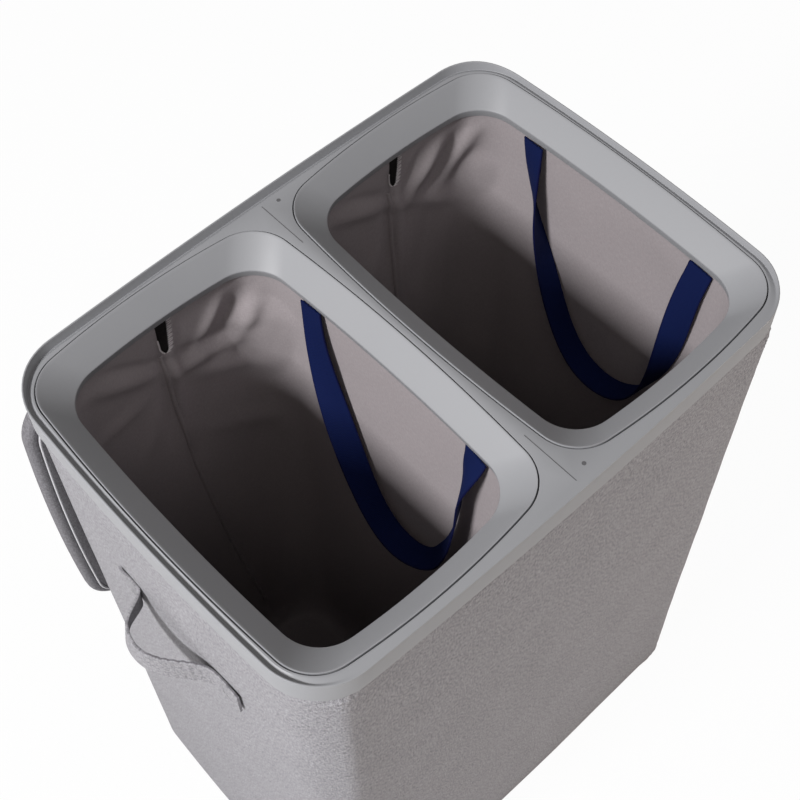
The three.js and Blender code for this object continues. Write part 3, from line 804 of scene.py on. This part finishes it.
# What the back wall of each bag shows: x from the bin's middle, and heights. Each fold has its x, height,
# direction in degrees, length, width and depth, and a negative depth stands into the bag.
bagMarks = {
    "left": {
        "seam": (-1, 24), "slit": {"x": 3.5, "low": 586, "high": 629, "width": 12, "lean": 0.04},
        "facet": {"start": 214, "height": 572, "above": 1.0, "below": 0.22, "share": 0.6},
        "folds": [
            (-34, 602, -36, 40, 4.5, 2.8), (-40, 588, -31, 42, 8, -4.4), (-8, 540, 86, 55, 4.5, 3.0),
            (4.5, 525, 85, 60, 4.5, -4.0), (-60, 545, 4, 40, 9, -2.4), (34, 572, -10, 38, 7, 2.6),
            (30, 553, -6, 34, 7, -3.2), (50, 598, 58, 26, 6, -4.2), (66, 590, 60, 28, 6, 2.6),
            (84, 584, 62, 34, 8, -4.4), (60, 520, -25, 46, 10, -2.6), (-30, 500, 60, 60, 10, -2.2),
            (20, 470, 75, 60, 9, 1.8), (70, 430, -30, 55, 12, -2.2),
        ],
    },
    "right": {
        "seam": (-1.5, 8), "slit": {"x": 2.2, "low": 591, "high": 629, "width": 10, "lean": 0.03},
        "facet": {"start": 226, "height": 560, "above": 0.7, "below": 0.25, "share": 0.6},
        "folds": [
            (40, 592, 55, 34, 8, -6.0), (60, 588, 56, 36, 6, 3.0), (78, 590, 60, 36, 9, -5.6),
            (26, 600, 60, 20, 5, 2.2), (-30, 602, -34, 38, 4.5, 2.6), (-36, 588, -30, 42, 8, -4.0),
            (-9, 522, 88, 65, 5.5, 3.0), (5, 515, 88, 70, 5, -5.0), (50, 540, -35, 44, 9, -2.8),
            (-30, 500, 62, 60, 10, -2.0), (30, 480, 78, 60, 9, 1.8),
        ],
    },
}


def seamAt(name, height):
    start, slide = bagMarks[name]["seam"]
    drift = bagSize["seamDrift"]
    return start + slide * max(0, (drift["height"] - height) / drift["reach"]) ** drift["power"]


def bagOutline(size, height):
    straight = size["hem"] - size["clampStraight"]
    belly, foot = size["bellyHeight"], size["footHeight"]
    if height >= straight:
        return size["top"]
    if height >= belly:
        return between(size["top"], size["belly"], smoothStep((straight - height) / (straight - belly), 0, 1))
    if height >= foot:
        return between(size["belly"], size["foot"], (belly - height) / (belly - foot))
    angle = math.asin(min((foot - height) / (foot - size["floorHeight"]), 1))
    return inset(size["foot"], size["floorInset"] * (1 - math.cos(angle)))


def bagHeights(size):
    foot, lowerRows, floorRows = size["footHeight"], size["lowerRows"], size["floorRows"]
    straight = size["hem"] - size["clampStraight"]
    heights = [size["hem"], size["hem"] - size["hemRow"]]
    heights += [straight - step * size["upperPitch"] for step in range(size["upperRows"])]
    low = heights[-1]
    heights += [low + (foot - low) * step / lowerRows for step in range(1, lowerRows + 1)]
    drop = foot - size["floorHeight"]
    heights += [foot - drop * math.sin(step / floorRows * math.pi / 2) for step in range(1, floorRows + 1)]
    return heights


def foldRelief(name, x, z):
    relief = 0
    for centreX, centreZ, degrees, length, width, depth in bagMarks[name]["folds"]:
        turn = math.radians(degrees)
        u = (x - centreX) * math.cos(turn) + (z - centreZ) * math.sin(turn)
        v = (z - centreZ) * math.cos(turn) - (x - centreX) * math.sin(turn)
        relief += depth * math.exp(-(u / length) ** 2 - (v / width) ** 2)
    return relief


# The flat that the cloth makes across the bag's back right corner, between two slanting creases.
def cornerFacet(name, x, y, z, size):
    facet = bagMarks[name]["facet"]
    slope = facet["above"] if z > facet["height"] else facet["below"]
    away = math.hypot(z - facet["height"], size["creaseRound"]) - size["creaseRound"]
    return -facet["share"] * max(0, (x + y - facet["start"] - slope * away) * math.sqrt(0.5))


# How far a point of the wall stands out from the plain shape; x and y are from the bin's middle.
def bagRelief(name, x, y, z, normal, size):
    depth = size["hem"] - z
    apart = size["apart"][name]
    relief = size["wave"] * clothWaves((x, y, z), size["waves"], apart) * smoothStep(depth, *size["waveZone"])
    onBack = smoothStep(normal.y, *size["backFacing"])
    fromSeam = abs(x - seamAt(name, z))
    folded = smoothStep(depth, *size["foldZone"])
    relief += foldRelief(name, x, z) * onBack * folded
    if x > 0 and y > 0:
        relief += cornerFacet(name, x, y, z, size) * folded
    ridge = size["ridge"] * math.exp(-(fromSeam / size["ridgeReach"]) ** 2)
    relief += ridge * onBack * smoothStep(depth, *size["ridgeZone"])
    phase = 2 * math.pi * (depth + size["wrinkleSlope"] * fromSeam) / size["wrinklePitch"]
    drift = noise.noise(Vector((z * size["wrinkleTurn"], 4, apart)))
    wrinkle = size["wrinkle"] * math.sin(phase + drift)
    near = math.exp(-(fromSeam / size["wrinkleReach"]) ** 2)
    relief += wrinkle * near * onBack * smoothStep(depth, *size["wrinkleZone"])
    return max(min(relief, size["limits"][1]), size["limits"][0])


def buildBag(name, side, size):
    x = side * ringSize["offset"]
    thickness = size["thickness"] * mm
    wall = []
    for height in bagHeights(size):
        row = []
        points = section(bagOutline(size, height), height, x, bagDetail)
        for point, normal in zip(points, outwardNormals(points)):
            relief = bagRelief(name, point.x / mm - x, point.y / mm, height, normal, size)
            row.append(point + normal * mm * relief)
        wall.append(row)
    floor = wall.pop()
    centre = sum(floor, Vector()) / len(floor)
    floors = [[centre + (point - centre) * share for point in floor] for share in (1, *size["floorShares"])]
    inner = [[point - normal * thickness for point, normal in zip(points, outwardNormals(points))]
             for points in wall]
    inner += [[point + Vector((0, 0, thickness)) for point in points] for points in floors]
    loftPiece(inner[::-1] + wall + floors, f"{name}_bag", bagCloth, f"{name}_bin",
              [f"{name}_liner"])


# The inside of the back wall at a local x and a height, in millimetres, and proud of it by a little.
def backWall(name, side, x, height, size, proud=0.0):
    outline = bagOutline(size, height)
    y = outline["halfY"] - outline["endRadius"] + math.sqrt(outline["endRadius"] ** 2 - x ** 2)
    y += bagRelief(name, x, y, height, Vector((0, 1, 0)), size) - size["thickness"] - proud
    return Vector((x + side * ringSize["offset"], y, height))


# The raised seam down each bag's back, from under the slit, wandering a little
seamSize = {
    "top": 583, "length": 480, "rows": 100, "wander": 0.25, "wanderPitch": 0.11,
    "profile": [(2.9, 0.4), (2.3, -1.3), (0.8, -2.1), (-0.8, -1.2), (-1.7, 0.4)],
}


def buildBagSeam(name, side, size):
    sections = []
    for step in range(size["rows"] + 1):
        height = size["top"] - size["length"] * step / size["rows"]
        wander = size["wander"] * noise.noise(Vector((height * size["wanderPitch"], 3, side)))
        at = backWall(name, side, seamAt(name, height) + wander, height, bagSize)
        sections.append([(at + Vector((w, out, 0))) * mm for w, out in size["profile"]])
    loftPiece(sections, f"{name}_bag_seam", bagCloth, f"{name}_bin")


# The slit: a thin near-black sheet of painted shade for the opening, a turned edge on its left and overlock
# stitches down its right
slitSize = {
    "rows": 24, "footShare": 0.5, "closingShare": 0.14, "closedShare": 0.02,
    "profile": ((-1, 0.3), (-0.5, 0.4), (0, 0.4), (0.5, 0.4), (1, 0.3), (1, -0.3), (-1, -0.3)),
    "edge": -1.05, "edgeRadius": 0.8, "edgeSides": 8, "edgeProud": 0.3, "stitches": 17, "firstStitch": 0.8,
    "stitchProud": 1.0, "stitchReach": 5.2, "stitchSlants": (-0.6, 0.8), "stitchBack": 0.3,
}
overlockSize = {"length": 6.2, "pitch": 6.2, "radius": 0.4}


def buildSlit(name, side, size):
    slit = bagMarks[name]["slit"]
    rows = size["rows"]

    def edge(step, across):
        share = step / rows
        height = slit["low"] + (slit["high"] - slit["low"]) * share
        middle = slit["x"] + slit["lean"] * (height - slit["low"])
        half = slit["width"] / 2 * (size["footShare"] + (1 - size["footShare"]) * share)
        half *= min(1, (share / size["closingShare"] + size["closedShare"]) ** 0.5)
        return middle + half * across, height

    def onWall(step, across, proud):
        return backWall(name, side, *edge(step, across), bagSize, proud)

    sections = [[onWall(step, across, proud) * mm for across, proud in size["profile"]]
                for step in range(rows + 1)]
    loftPiece(sections, f"{name}_bag_slit", slitShadeSheet, f"{name}_bin")
    bm = newBody()
    turned = [onWall(step, size["edge"], size["edgeProud"]) for step in range(rows // 2)]
    stations = [(at, along, Vector((0, -1, 0))) for at, along in zip(turned, pathDirections(turned))]
    angles = [2 * math.pi * step / size["edgeSides"] for step in range(size["edgeSides"])]
    ring = [(size["edgeRadius"] * math.cos(angle), size["edgeRadius"] * math.sin(angle)) for angle in angles]
    loft(bm, tapeSections(stations, ring), "capped")
    for step in range(size["stitches"]):
        at = onWall(step * rows / size["stitches"] + size["firstStitch"], 1.0, size["stitchProud"])
        reach = Vector((size["stitchReach"], 0, size["stitchSlants"][step % 2]))
        sewRow(bm, [at - reach * size["stitchBack"], at + reach], overlockSize)
    finishPiece(bm, f"{name}_bag_overlock", bagThread, f"{name}_bin", sharp=60)


for name, side in leftAndRight.items():
    buildBag(name, side, bagSize)
    buildBagSeam(name, side, seamSize)
    buildSlit(name, side, slitSize)
print("bags made")


# The loops inside the bins. Each hangs by its two ends and turns on its way down, in one or two turns
# of so many degrees, each between two shares of the sag.
loopSize = {
    "width": 24, "thickness": 1.6, "columns": 8, "wall": 99.856, "top": 626.2, "halfSpan": 92, "centreY": -6,
    "sag": 214, "inward": 17, "outermost": 102.4, "steps": 110, "drift": -24, "driftZone": (0.1, 1),
    "steepness": {"left": 2.6, "right": 3.3}, "turnSide": {"left": 1, "right": -1},
    "turns": {
        "left": {"front": [(58, -0.08, 0.3), (32, 0.82, 1)], "back": [(90, 0, 1)]},
        "right": {"front": [(90, 0, 1)], "back": [(90, -0.15, 0.75)]},
    },
}


def buildLoop(binName, sideName, side, size):
    centre = leftAndRight[binName] * ringSize["offset"]
    steepness = size["steepness"][binName]
    places, turns = [], []
    for step in range(size["steps"] + 1):
        lengthShare = 2 * step / size["steps"] - 1
        share = math.asinh(lengthShare * math.sinh(steepness)) / steepness
        hang = 1 - (math.cosh(steepness * share) - 1) / (math.cosh(steepness) - 1)
        y = size["centreY"] + size["halfSpan"] * share + size["drift"] * smoothStep(hang, *size["driftZone"])
        stretches = size["turns"][binName]["front" if share < 0 else "back"]
        turn = math.radians(sum(degrees * smoothStep(hang, low, high) for degrees, low, high in stretches))
        turns.append(turn * size["turnSide"][binName])
        # where the webbing is turned, its outer edge stays inside the bag
        edge = size["outermost"] - size["width"] / 2 * math.sin(turn)
        out = min(size["wall"] - size["inward"] * hang, edge)
        places.append(Vector((centre + side * out, y, size["top"] - size["sag"] * hang)))
    inwards = Vector((-side, 0, 0))
    stations = []
    for place, along, turn in zip(places, pathDirections(places), turns):
        start = (inwards - along * inwards.dot(along)).normalized()
        stations.append((place, along, Matrix.Rotation(side * turn, 3, along) @ start))
    bm = tapeBody(stations, tapeProfile(size["width"], size["thickness"], size["columns"]))
    finishPiece(bm, f"{binName}_bag_{sideName}_webbing", navyTape, f"{binName}_bin_{sideName}_loop",
                [f"{binName}_liner_loop_{sideName}"], sharp=50)


for binName in leftAndRight:
    for sideName, side in leftAndRight.items():
        buildLoop(binName, sideName, side, loopSize)


# The carry straps: each half runs from its sewn end to the middle.
handleSize = {
    "width": 28, "thickness": 2.4, "columns": 16, "height": 498, "centreY": -6, "halfLength": 74,
    "wall": 249.641, "droop": 3, "reach": 31, "perStretch": 5,
    # how far the strap stands off the panel at each y, and how far its face tips, from each end to the middle
    "back": [
        (68, 0, 0), (58, -0.4, 0), (49, -0.6, 0), (42.5, 0.6, 4), (38.8, 5.5, 7), (36.2, 12, 9),
        (32.8, 19.5, 10), (27, 26, 9), (18, 29.8, 8), (7, 31, 5), (-4, 29.2, 4),
    ],
    "front": [
        (-80, 0, 0), (-70, -0.4, 0), (-60, -0.6, 0), (-52, -0.1, 0), (-45, 2.2, 2), (-38, 6.3, 3),
        (-31, 11.5, 3), (-23, 17.8, 3), (-14, 24, 3), (-4, 29.2, 4),
    ],
    "bends": {"back": ((45, 0), (20, 29)), "front": ((-54, 0), (-16, 23))},
    "meeting": ((-8, 27.6), (0, 30.3)),
    "crease": 0.45, "creaseTurn": 1.1, "creaseStart": (4, 16), "creaseEnd": (38, 50),
    "sewLine": 10.6, "sewDip": 0.3, "sewSink": 0.35, "sewnEnds": (3, 20),
}


# A smooth curve through a few points, each a tuple of numbers.
def smoothCurve(points, steps):
    curve = []
    for index in range(len(points) - 1):
        known = [Vector(points[min(max(index + shift, 0), len(points) - 1)]) for shift in (-1, 0, 1, 2)]
        for step in range(steps):
            t = step / steps
            curve.append(0.5 * (2 * known[1] + (known[2] - known[0]) * t
                                + (2 * known[0] - 5 * known[1] + 4 * known[2] - known[3]) * t ** 2
                                + (3 * known[1] - known[0] - 3 * known[2] + known[3]) * t ** 3))
    return curve + [Vector(points[-1])]


def buildStrapHalf(name, side, endName, size):
    def place(y, reach):
        z = size["height"] - size["droop"] * reach / size["reach"]
        return Vector((side * (size["wall"] + reach), y, z))

    curve = smoothCurve(size[endName], size["perStretch"])
    places = [place(y, reach) for y, reach, tip in curve]
    end = 1 if endName == "back" else -1
    low, high = (place(*spot) for spot in size["meeting"])
    directions = pathDirections(places, Vector((0, -end, 0)), (low - high).normalized() * end)
    stations = []
    for at, along, (y, reach, tip) in zip(places, directions, curve):
        lean = math.radians(tip)
        crease = size["crease"] * math.sin(y * size["creaseTurn"]) * smoothStep(-y, *size["creaseStart"])
        crease *= 1 - smoothStep(-y, *size["creaseEnd"])
        outwards = along.cross(Vector((0, 0, 1))).normalized() * side * end * -1
        face = outwards * math.cos(lean) + Vector((0, 0, 1)) * math.sin(lean)
        stations.append((at + face * crease, along, face))
    dips = ((size["sewLine"], size["sewDip"]), (-size["sewLine"], size["sewDip"]))
    profile = tapeProfile(size["width"], size["thickness"], size["columns"], dips)
    bm = tapeBody(stations, profile)
    step = bm.verts.layers.int["step"]
    columns = len(profile) // 2
    for face in bm.faces:
        if all(columns <= vert[step] <= 2 * columns - 1 for vert in face.verts):
            face.material_index = 1  # the side that faces the panel, given the melange with painted shade
    piece = finishPiece(bm, f"{name}_carry_strap_{endName}", melange, None, sharp=50)
    piece.data.materials.append(paintedShadeMelange)
    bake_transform(piece)
    return piece


def dressHandle(name, side, size):
    halves = [buildStrapHalf(name, side, "front", size), buildStrapHalf(name, side, "back", size)]
    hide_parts(f"{name}_handle_front_tab", f"{name}_handle_strap")
    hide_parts(f"{name}_handle_back_tab")
    bm = newBody()
    out = size["wall"] + size["thickness"] / 2 - size["sewSink"]
    far, near = (size["halfLength"] - distance for distance in size["sewnEnds"])
    line = size["sewLine"]
    for end in (-1, 1):
        box = [Vector((side * out, size["centreY"] + end * y, size["height"] + z))
               for y, z in ((far, line), (far, -line), (near, -line), (near, line))]
        sewRow(bm, box + box[:1])
        sewRow(bm, [box[0], box[2]])
    finishPiece(bm, f"{name}_strap_stitches", threadCloth, "body")


for name, side in leftAndRight.items():
    dressHandle(name, side, handleSize)
print("straps made")


# The lid, drawn lying flat and then hung behind the frame
lidSize = {
    "outline": adjusted(frameSize["outline"], halfX=-3.5, halfY=-3), "thickness": 12,
    "hinge": (0, 191.854, 598.532), "hingeGap": 0.795,
    # rows round the edge: how far in, and how far below the top or above the underside
    "topEdge": [(6, 1.7), (1.7, 1.7), (1.2, 0.2), (0.3, 0.2)],
    "underEdge": [(0.8, 3.2), (3.4, 0.9), (7.4, 0.35), (8.6, 0.9), (9.6, 0.9), (11, 0.35)],
    "topShares": (0.9, 0.6, 0.3, 0.06),
    "underShares": (0.97, 0.94, 0.9, 0.85, 0.79, 0.72, 0.64, 0.55, 0.45, 0.34, 0.22, 0.1),
    # the crown of the padded face, its soft waves and how the seam pulls at its edge
    "crown": 1.6, "wave": 0.55, "waves": [(1, (9, 11, 0), 0.2), (0.5, (26, 30, 0), 4)], "waveZone": (0, 0.15),
    "pull": 0.3, "pullTurn": 1.9, "pullDrift": [(2, (20, 20, 0), 8)], "pullZone": (0.72, 0.94),
    "pipingInset": 9, "pipingRadius": 1.1, "pipingDepth": 2.5, "pipingSides": 10,
    "liningInset": 1.8, "liningEdge": [(2, 1.5), (0, 1.4), (0, 0.6), (0.9, 0), (5, 0), (6, 0.45), (7, 0.1)],
    "liningShares": (0.93, 0.85, 0.72, 0.58, 0.42, 0.27, 0.12, 0.04), "liningWaves": [(0.35, (9, 14, 0), 2)],
    "liningSink": 0.4,
}
lidDetail = {"side": 12, "corner": 12, "end": 14}


def hang(points, size):
    hinge = Vector(size["hinge"]) * mm
    moved = []
    for point in points:
        flat = point + Vector((0, size["outline"]["halfY"] + size["hingeGap"], -size["thickness"] / 2)) * mm
        moved.append(Vector((flat.x, flat.z, -flat.y)) + hinge)
    return moved


def buildLidPad(size):
    half = size["thickness"] / 2
    edge = [(inwards, half - drop) for inwards, drop in size["topEdge"]] + [(0, 0)]
    edge += [(inwards, lift - half) for inwards, lift in size["underEdge"]]
    rows = drawnIn(size["outline"], edge, detail=lidDetail)
    rows = roundedSections(rows, {3: 1.0, 4: 2.5, 5: 1.5, 6: 1.5})
    outermost, inner = rows[0], rows[-1]
    level = edge[-1][1]
    for share in size["underShares"]:
        row = []
        for index, point in enumerate(inner):
            x, y = point.x * share, point.y * share
            soft = clothWaves((x, y, 0), size["waves"]) * smoothStep(1 - share, *size["waveZone"])
            pull = math.sin(index * size["pullTurn"] + clothWaves((x, y, 0), size["pullDrift"]))
            pull *= smoothStep(share, *size["pullZone"])
            crown = size["crown"] * (1 - share ** 3)
            row.append(Vector((x, y, (level - crown + size["wave"] * soft + size["pull"] * pull) * mm)))
        rows.append(row)
    for share in size["topShares"]:
        rows.insert(0, [Vector((point.x * share, point.y * share, outermost[0].z)) for point in outermost])
    # The padded face takes the melange with painted shade, for the shadow it hangs in behind the body
    piece = loftPiece([hang(row, size) for row in rows], "lid_pad", paintedShadeMelange, "lid",
                      ["lid_cover", "lid_foam"], sharp=50)


def buildLidPiping(size):
    radius = size["pipingRadius"]
    low = -size["thickness"] / 2 - size["pipingDepth"]
    angles = [2 * math.pi * step / size["pipingSides"] for step in range(size["pipingSides"])]
    around = [(size["pipingInset"] - radius * math.cos(angle), low + radius * (1 + math.sin(angle)))
              for angle in angles]
    rows = [hang(row, size) for row in drawnIn(size["outline"], around, detail=lidDetail)]
    loftPiece(rows, "lid_welt", pipingCloth, "lid", ["lid_piping"], ends="joined")


def buildLidLining(size):
    half = size["thickness"] / 2
    edge = [(size["liningInset"] + inwards, half - drop) for inwards, drop in size["liningEdge"]]
    rows = roundedSections(drawnIn(size["outline"], edge, detail=lidDetail), {3: 0.4, 4: 0.6, 5: 0.4})
    inner = rows[-1]
    for share in size["liningShares"]:
        row = []
        for point in inner:
            x, y = point.x * share, point.y * share
            wave = clothWaves((x, y, 0), size["liningWaves"]) - size["liningSink"]
            row.append(Vector((x, y, (half + wave) * mm)))
        rows.append(row)
    loftPiece([hang(row, size) for row in rows], "lid_inside", bagCloth, "lid", ["lid_lining"])


buildLidPad(lidSize)
buildLidPiping(lidSize)
buildLidLining(lidSize)

# The hinge: a strip of the same cloth under the skirt, and the folded binding that holds its root
stripSize = {
    "root": (0, 181.1, 629), "length": 32.3, "lean": 18.0226, "thickness": 1.6, "halfWidth": 186.8,
    "columns": 60, "endGap": 0.2, "rows": [0.15, 2, 6, 12, 18, 24, 30], "lastRow": 32,
    "ripple": 0.12, "rippleTurn": 0.42,
}
bindingSize = {
    "low": 614.7, "gap": 0.3, "halfWidth": 186.8, "seamRow": 4, "seamProud": 0.25,
    "profile": [
        (0.15, 0), (1.9, 0.2), (2.4, 1.2), (2.4, 3), (2.1, 3.7), (2.4, 4.6), (2.4, 12.2), (1.9, 13.6),
        (0.15, 14),
    ],
}
bindingDetail = {"side": 4, "corner": 6, "end": 24}


def buildHingeStrip(size):
    lean = math.radians(size["lean"])
    down = Vector((0, math.sin(lean), -math.cos(lean)))
    off = Vector((0, math.cos(lean), math.sin(lean)))
    radius = lidSize["outline"]["endRadius"]
    half = size["thickness"] / 2
    last = size["lastRow"]
    profile = [(row, half) for row in size["rows"]] + [(last, half / 2), (last, -half / 2)]
    profile += [(row, -half) for row in reversed(size["rows"])]
    sections = []
    for step in range(size["columns"] + 1):
        x = size["halfWidth"] * (2 * step / size["columns"] - 1)
        root = Vector(size["root"]) + Vector((x, 0, 0))
        sag = radius - math.sqrt(radius ** 2 - x ** 2)  # the lid's edge is bowed
        points = []
        for row, lift in profile:
            reach = row * (size["length"] + sag - size["endGap"]) / last
            ripple = size["ripple"] * math.sin(x * size["rippleTurn"] + row) if 1 < row < last - 1 else 0
            points.append((root + down * reach + off * (lift + ripple)) * mm)
        sections.append(points)
    loftPiece(sections, "hinge_cloth", melange, "hinge_strip", ["lid_hinge_strip"], sharp=50)


def buildBinding(size):
    limit = size["halfWidth"] * mm
    quarter = sum(bindingDetail.values())
    rows = []
    for out, up in size["profile"]:
        height = size["low"] + up
        points = section(inset(coverAt(height), -size["gap"] - out), height, detail=bindingDetail)
        rows.append(points[quarter - bindingDetail["end"]:quarter + bindingDetail["end"] + 1])
    for point in sum(rows, []):
        point.x = max(min(point.x, limit), -limit)
    sections = list(zip(*rows))
    loftPiece(sections, "hinge_binding", melange, "body", ["lid_hinge_binding"], sharp=50)
    bm = newBody()
    sewRow(bm, [column[size["seamRow"]] / mm + Vector((0, size["seamProud"], 0)) for column in sections])
    finishPiece(bm, "binding_stitches", threadCloth, "body")


buildHingeStrip(stripSize)
buildBinding(bindingSize)
print("lid made")


# Materials of the CAD pieces that stay
def repaint(names, material):
    for name in names:
        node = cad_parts[name]
        node.data.materials.clear()
        node.data.materials.append(material)


repaint(["left_board", "right_board", "front_board", "back_board", "base_board", "lid_board"], boardFibre)
repaint(["hem_band", "left_liner_clamp", "right_liner_clamp"], hiddenPlastic)

# Floor, lamps and world
studio = {
    "floor": (0.8, 0.8, 0.8, 1), "floorRoughness": 0.9, "floorSize": 8, "floorHeight": -0.0005,
    "floorWhite": 0.96, "white": {"Color": (1, 1, 1, 1), "Strength": 1.0},
    "ambient": 0.31, "ambientColour": (1.0, 0.97, 0.96, 1),
    "lamps": {
        "key": {"place": (-2.6, 0.0, 2.5), "aim": (0, 0, 0.55), "size": 0.62, "power": 104,
                "colour": (1, 0.99, 1.0)},
        "frontFill": {"place": (1.4, -1.9, 0.2), "aim": (0.1, -0.1, 0.4), "size": 0.9, "power": 22,
                      "colour": (1.0, 0.88, 0.77)},
        "viewFill": {"place": (-0.85, -0.95, 2.55), "aim": (0, 0, 0.5), "size": 0.5, "power": 2.7,
                     "colour": (1.0, 0.9, 0.87)},
    },
}


# Shows one shader to the rays that see it with this share, and the other one to the rest.
def mixShaders(tree, share, plain, seen, outputName):
    mix = addNode(tree, "ShaderNodeMixShader", {0: share, 1: plain.outputs[0], 2: seen.outputs[0]})
    setInputs(tree, tree.nodes[outputName], {"Surface": mix.outputs[0]})


def buildFloor(setup):
    bpy.ops.mesh.primitive_plane_add(size=setup["floorSize"], location=(0, 0, setup["floorHeight"]))
    floor = bpy.context.object
    floor.name = "floor"
    material, tree, shader = newMaterial("floorPaper", setup["floorRoughness"])
    setInputs(tree, shader, {"Base Color": setup["floor"]})
    white = addNode(tree, "ShaderNodeEmission", setup["white"])
    rays = addNode(tree, "ShaderNodeLightPath").outputs
    share = maths(tree, "MULTIPLY", rays["Is Camera Ray"], setup["floorWhite"])
    mixShaders(tree, share, shader, white, "Material Output")
    floor.data.materials.append(material)


def buildWorld(setup):
    world = bpy.data.worlds.new("studio")
    scene.world = world
    world.use_nodes = True
    tree = world.node_tree
    soft = tree.nodes["Background"]
    setInputs(tree, soft, {"Color": setup["ambientColour"], "Strength": setup["ambient"]})
    backdrop = addNode(tree, "ShaderNodeBackground", setup["white"])
    rays = addNode(tree, "ShaderNodeLightPath").outputs
    share = maths(tree, "MAXIMUM", rays["Is Camera Ray"], rays["Is Transmission Ray"])
    mixShaders(tree, share, soft, backdrop, "World Output")


def hangLamp(name, lamp):
    data = bpy.data.lights.new(name, "AREA")
    data.size = lamp["size"]
    data.energy = lamp["power"]
    data.color = lamp["colour"]
    light = bpy.data.objects.new(name, data)
    place = Vector(lamp["place"])
    turn = (Vector(lamp["aim"]) - place).to_track_quat("-Z", "Y").to_matrix().to_4x4()
    light.matrix_world = Matrix.Translation(place) @ turn
    scene.collection.objects.link(light)


buildFloor(studio)
buildWorld(studio)
for name, lamp in studio["lamps"].items():
    hangLamp(name, lamp)
print("studio made")

bpy.context.view_layer.update()
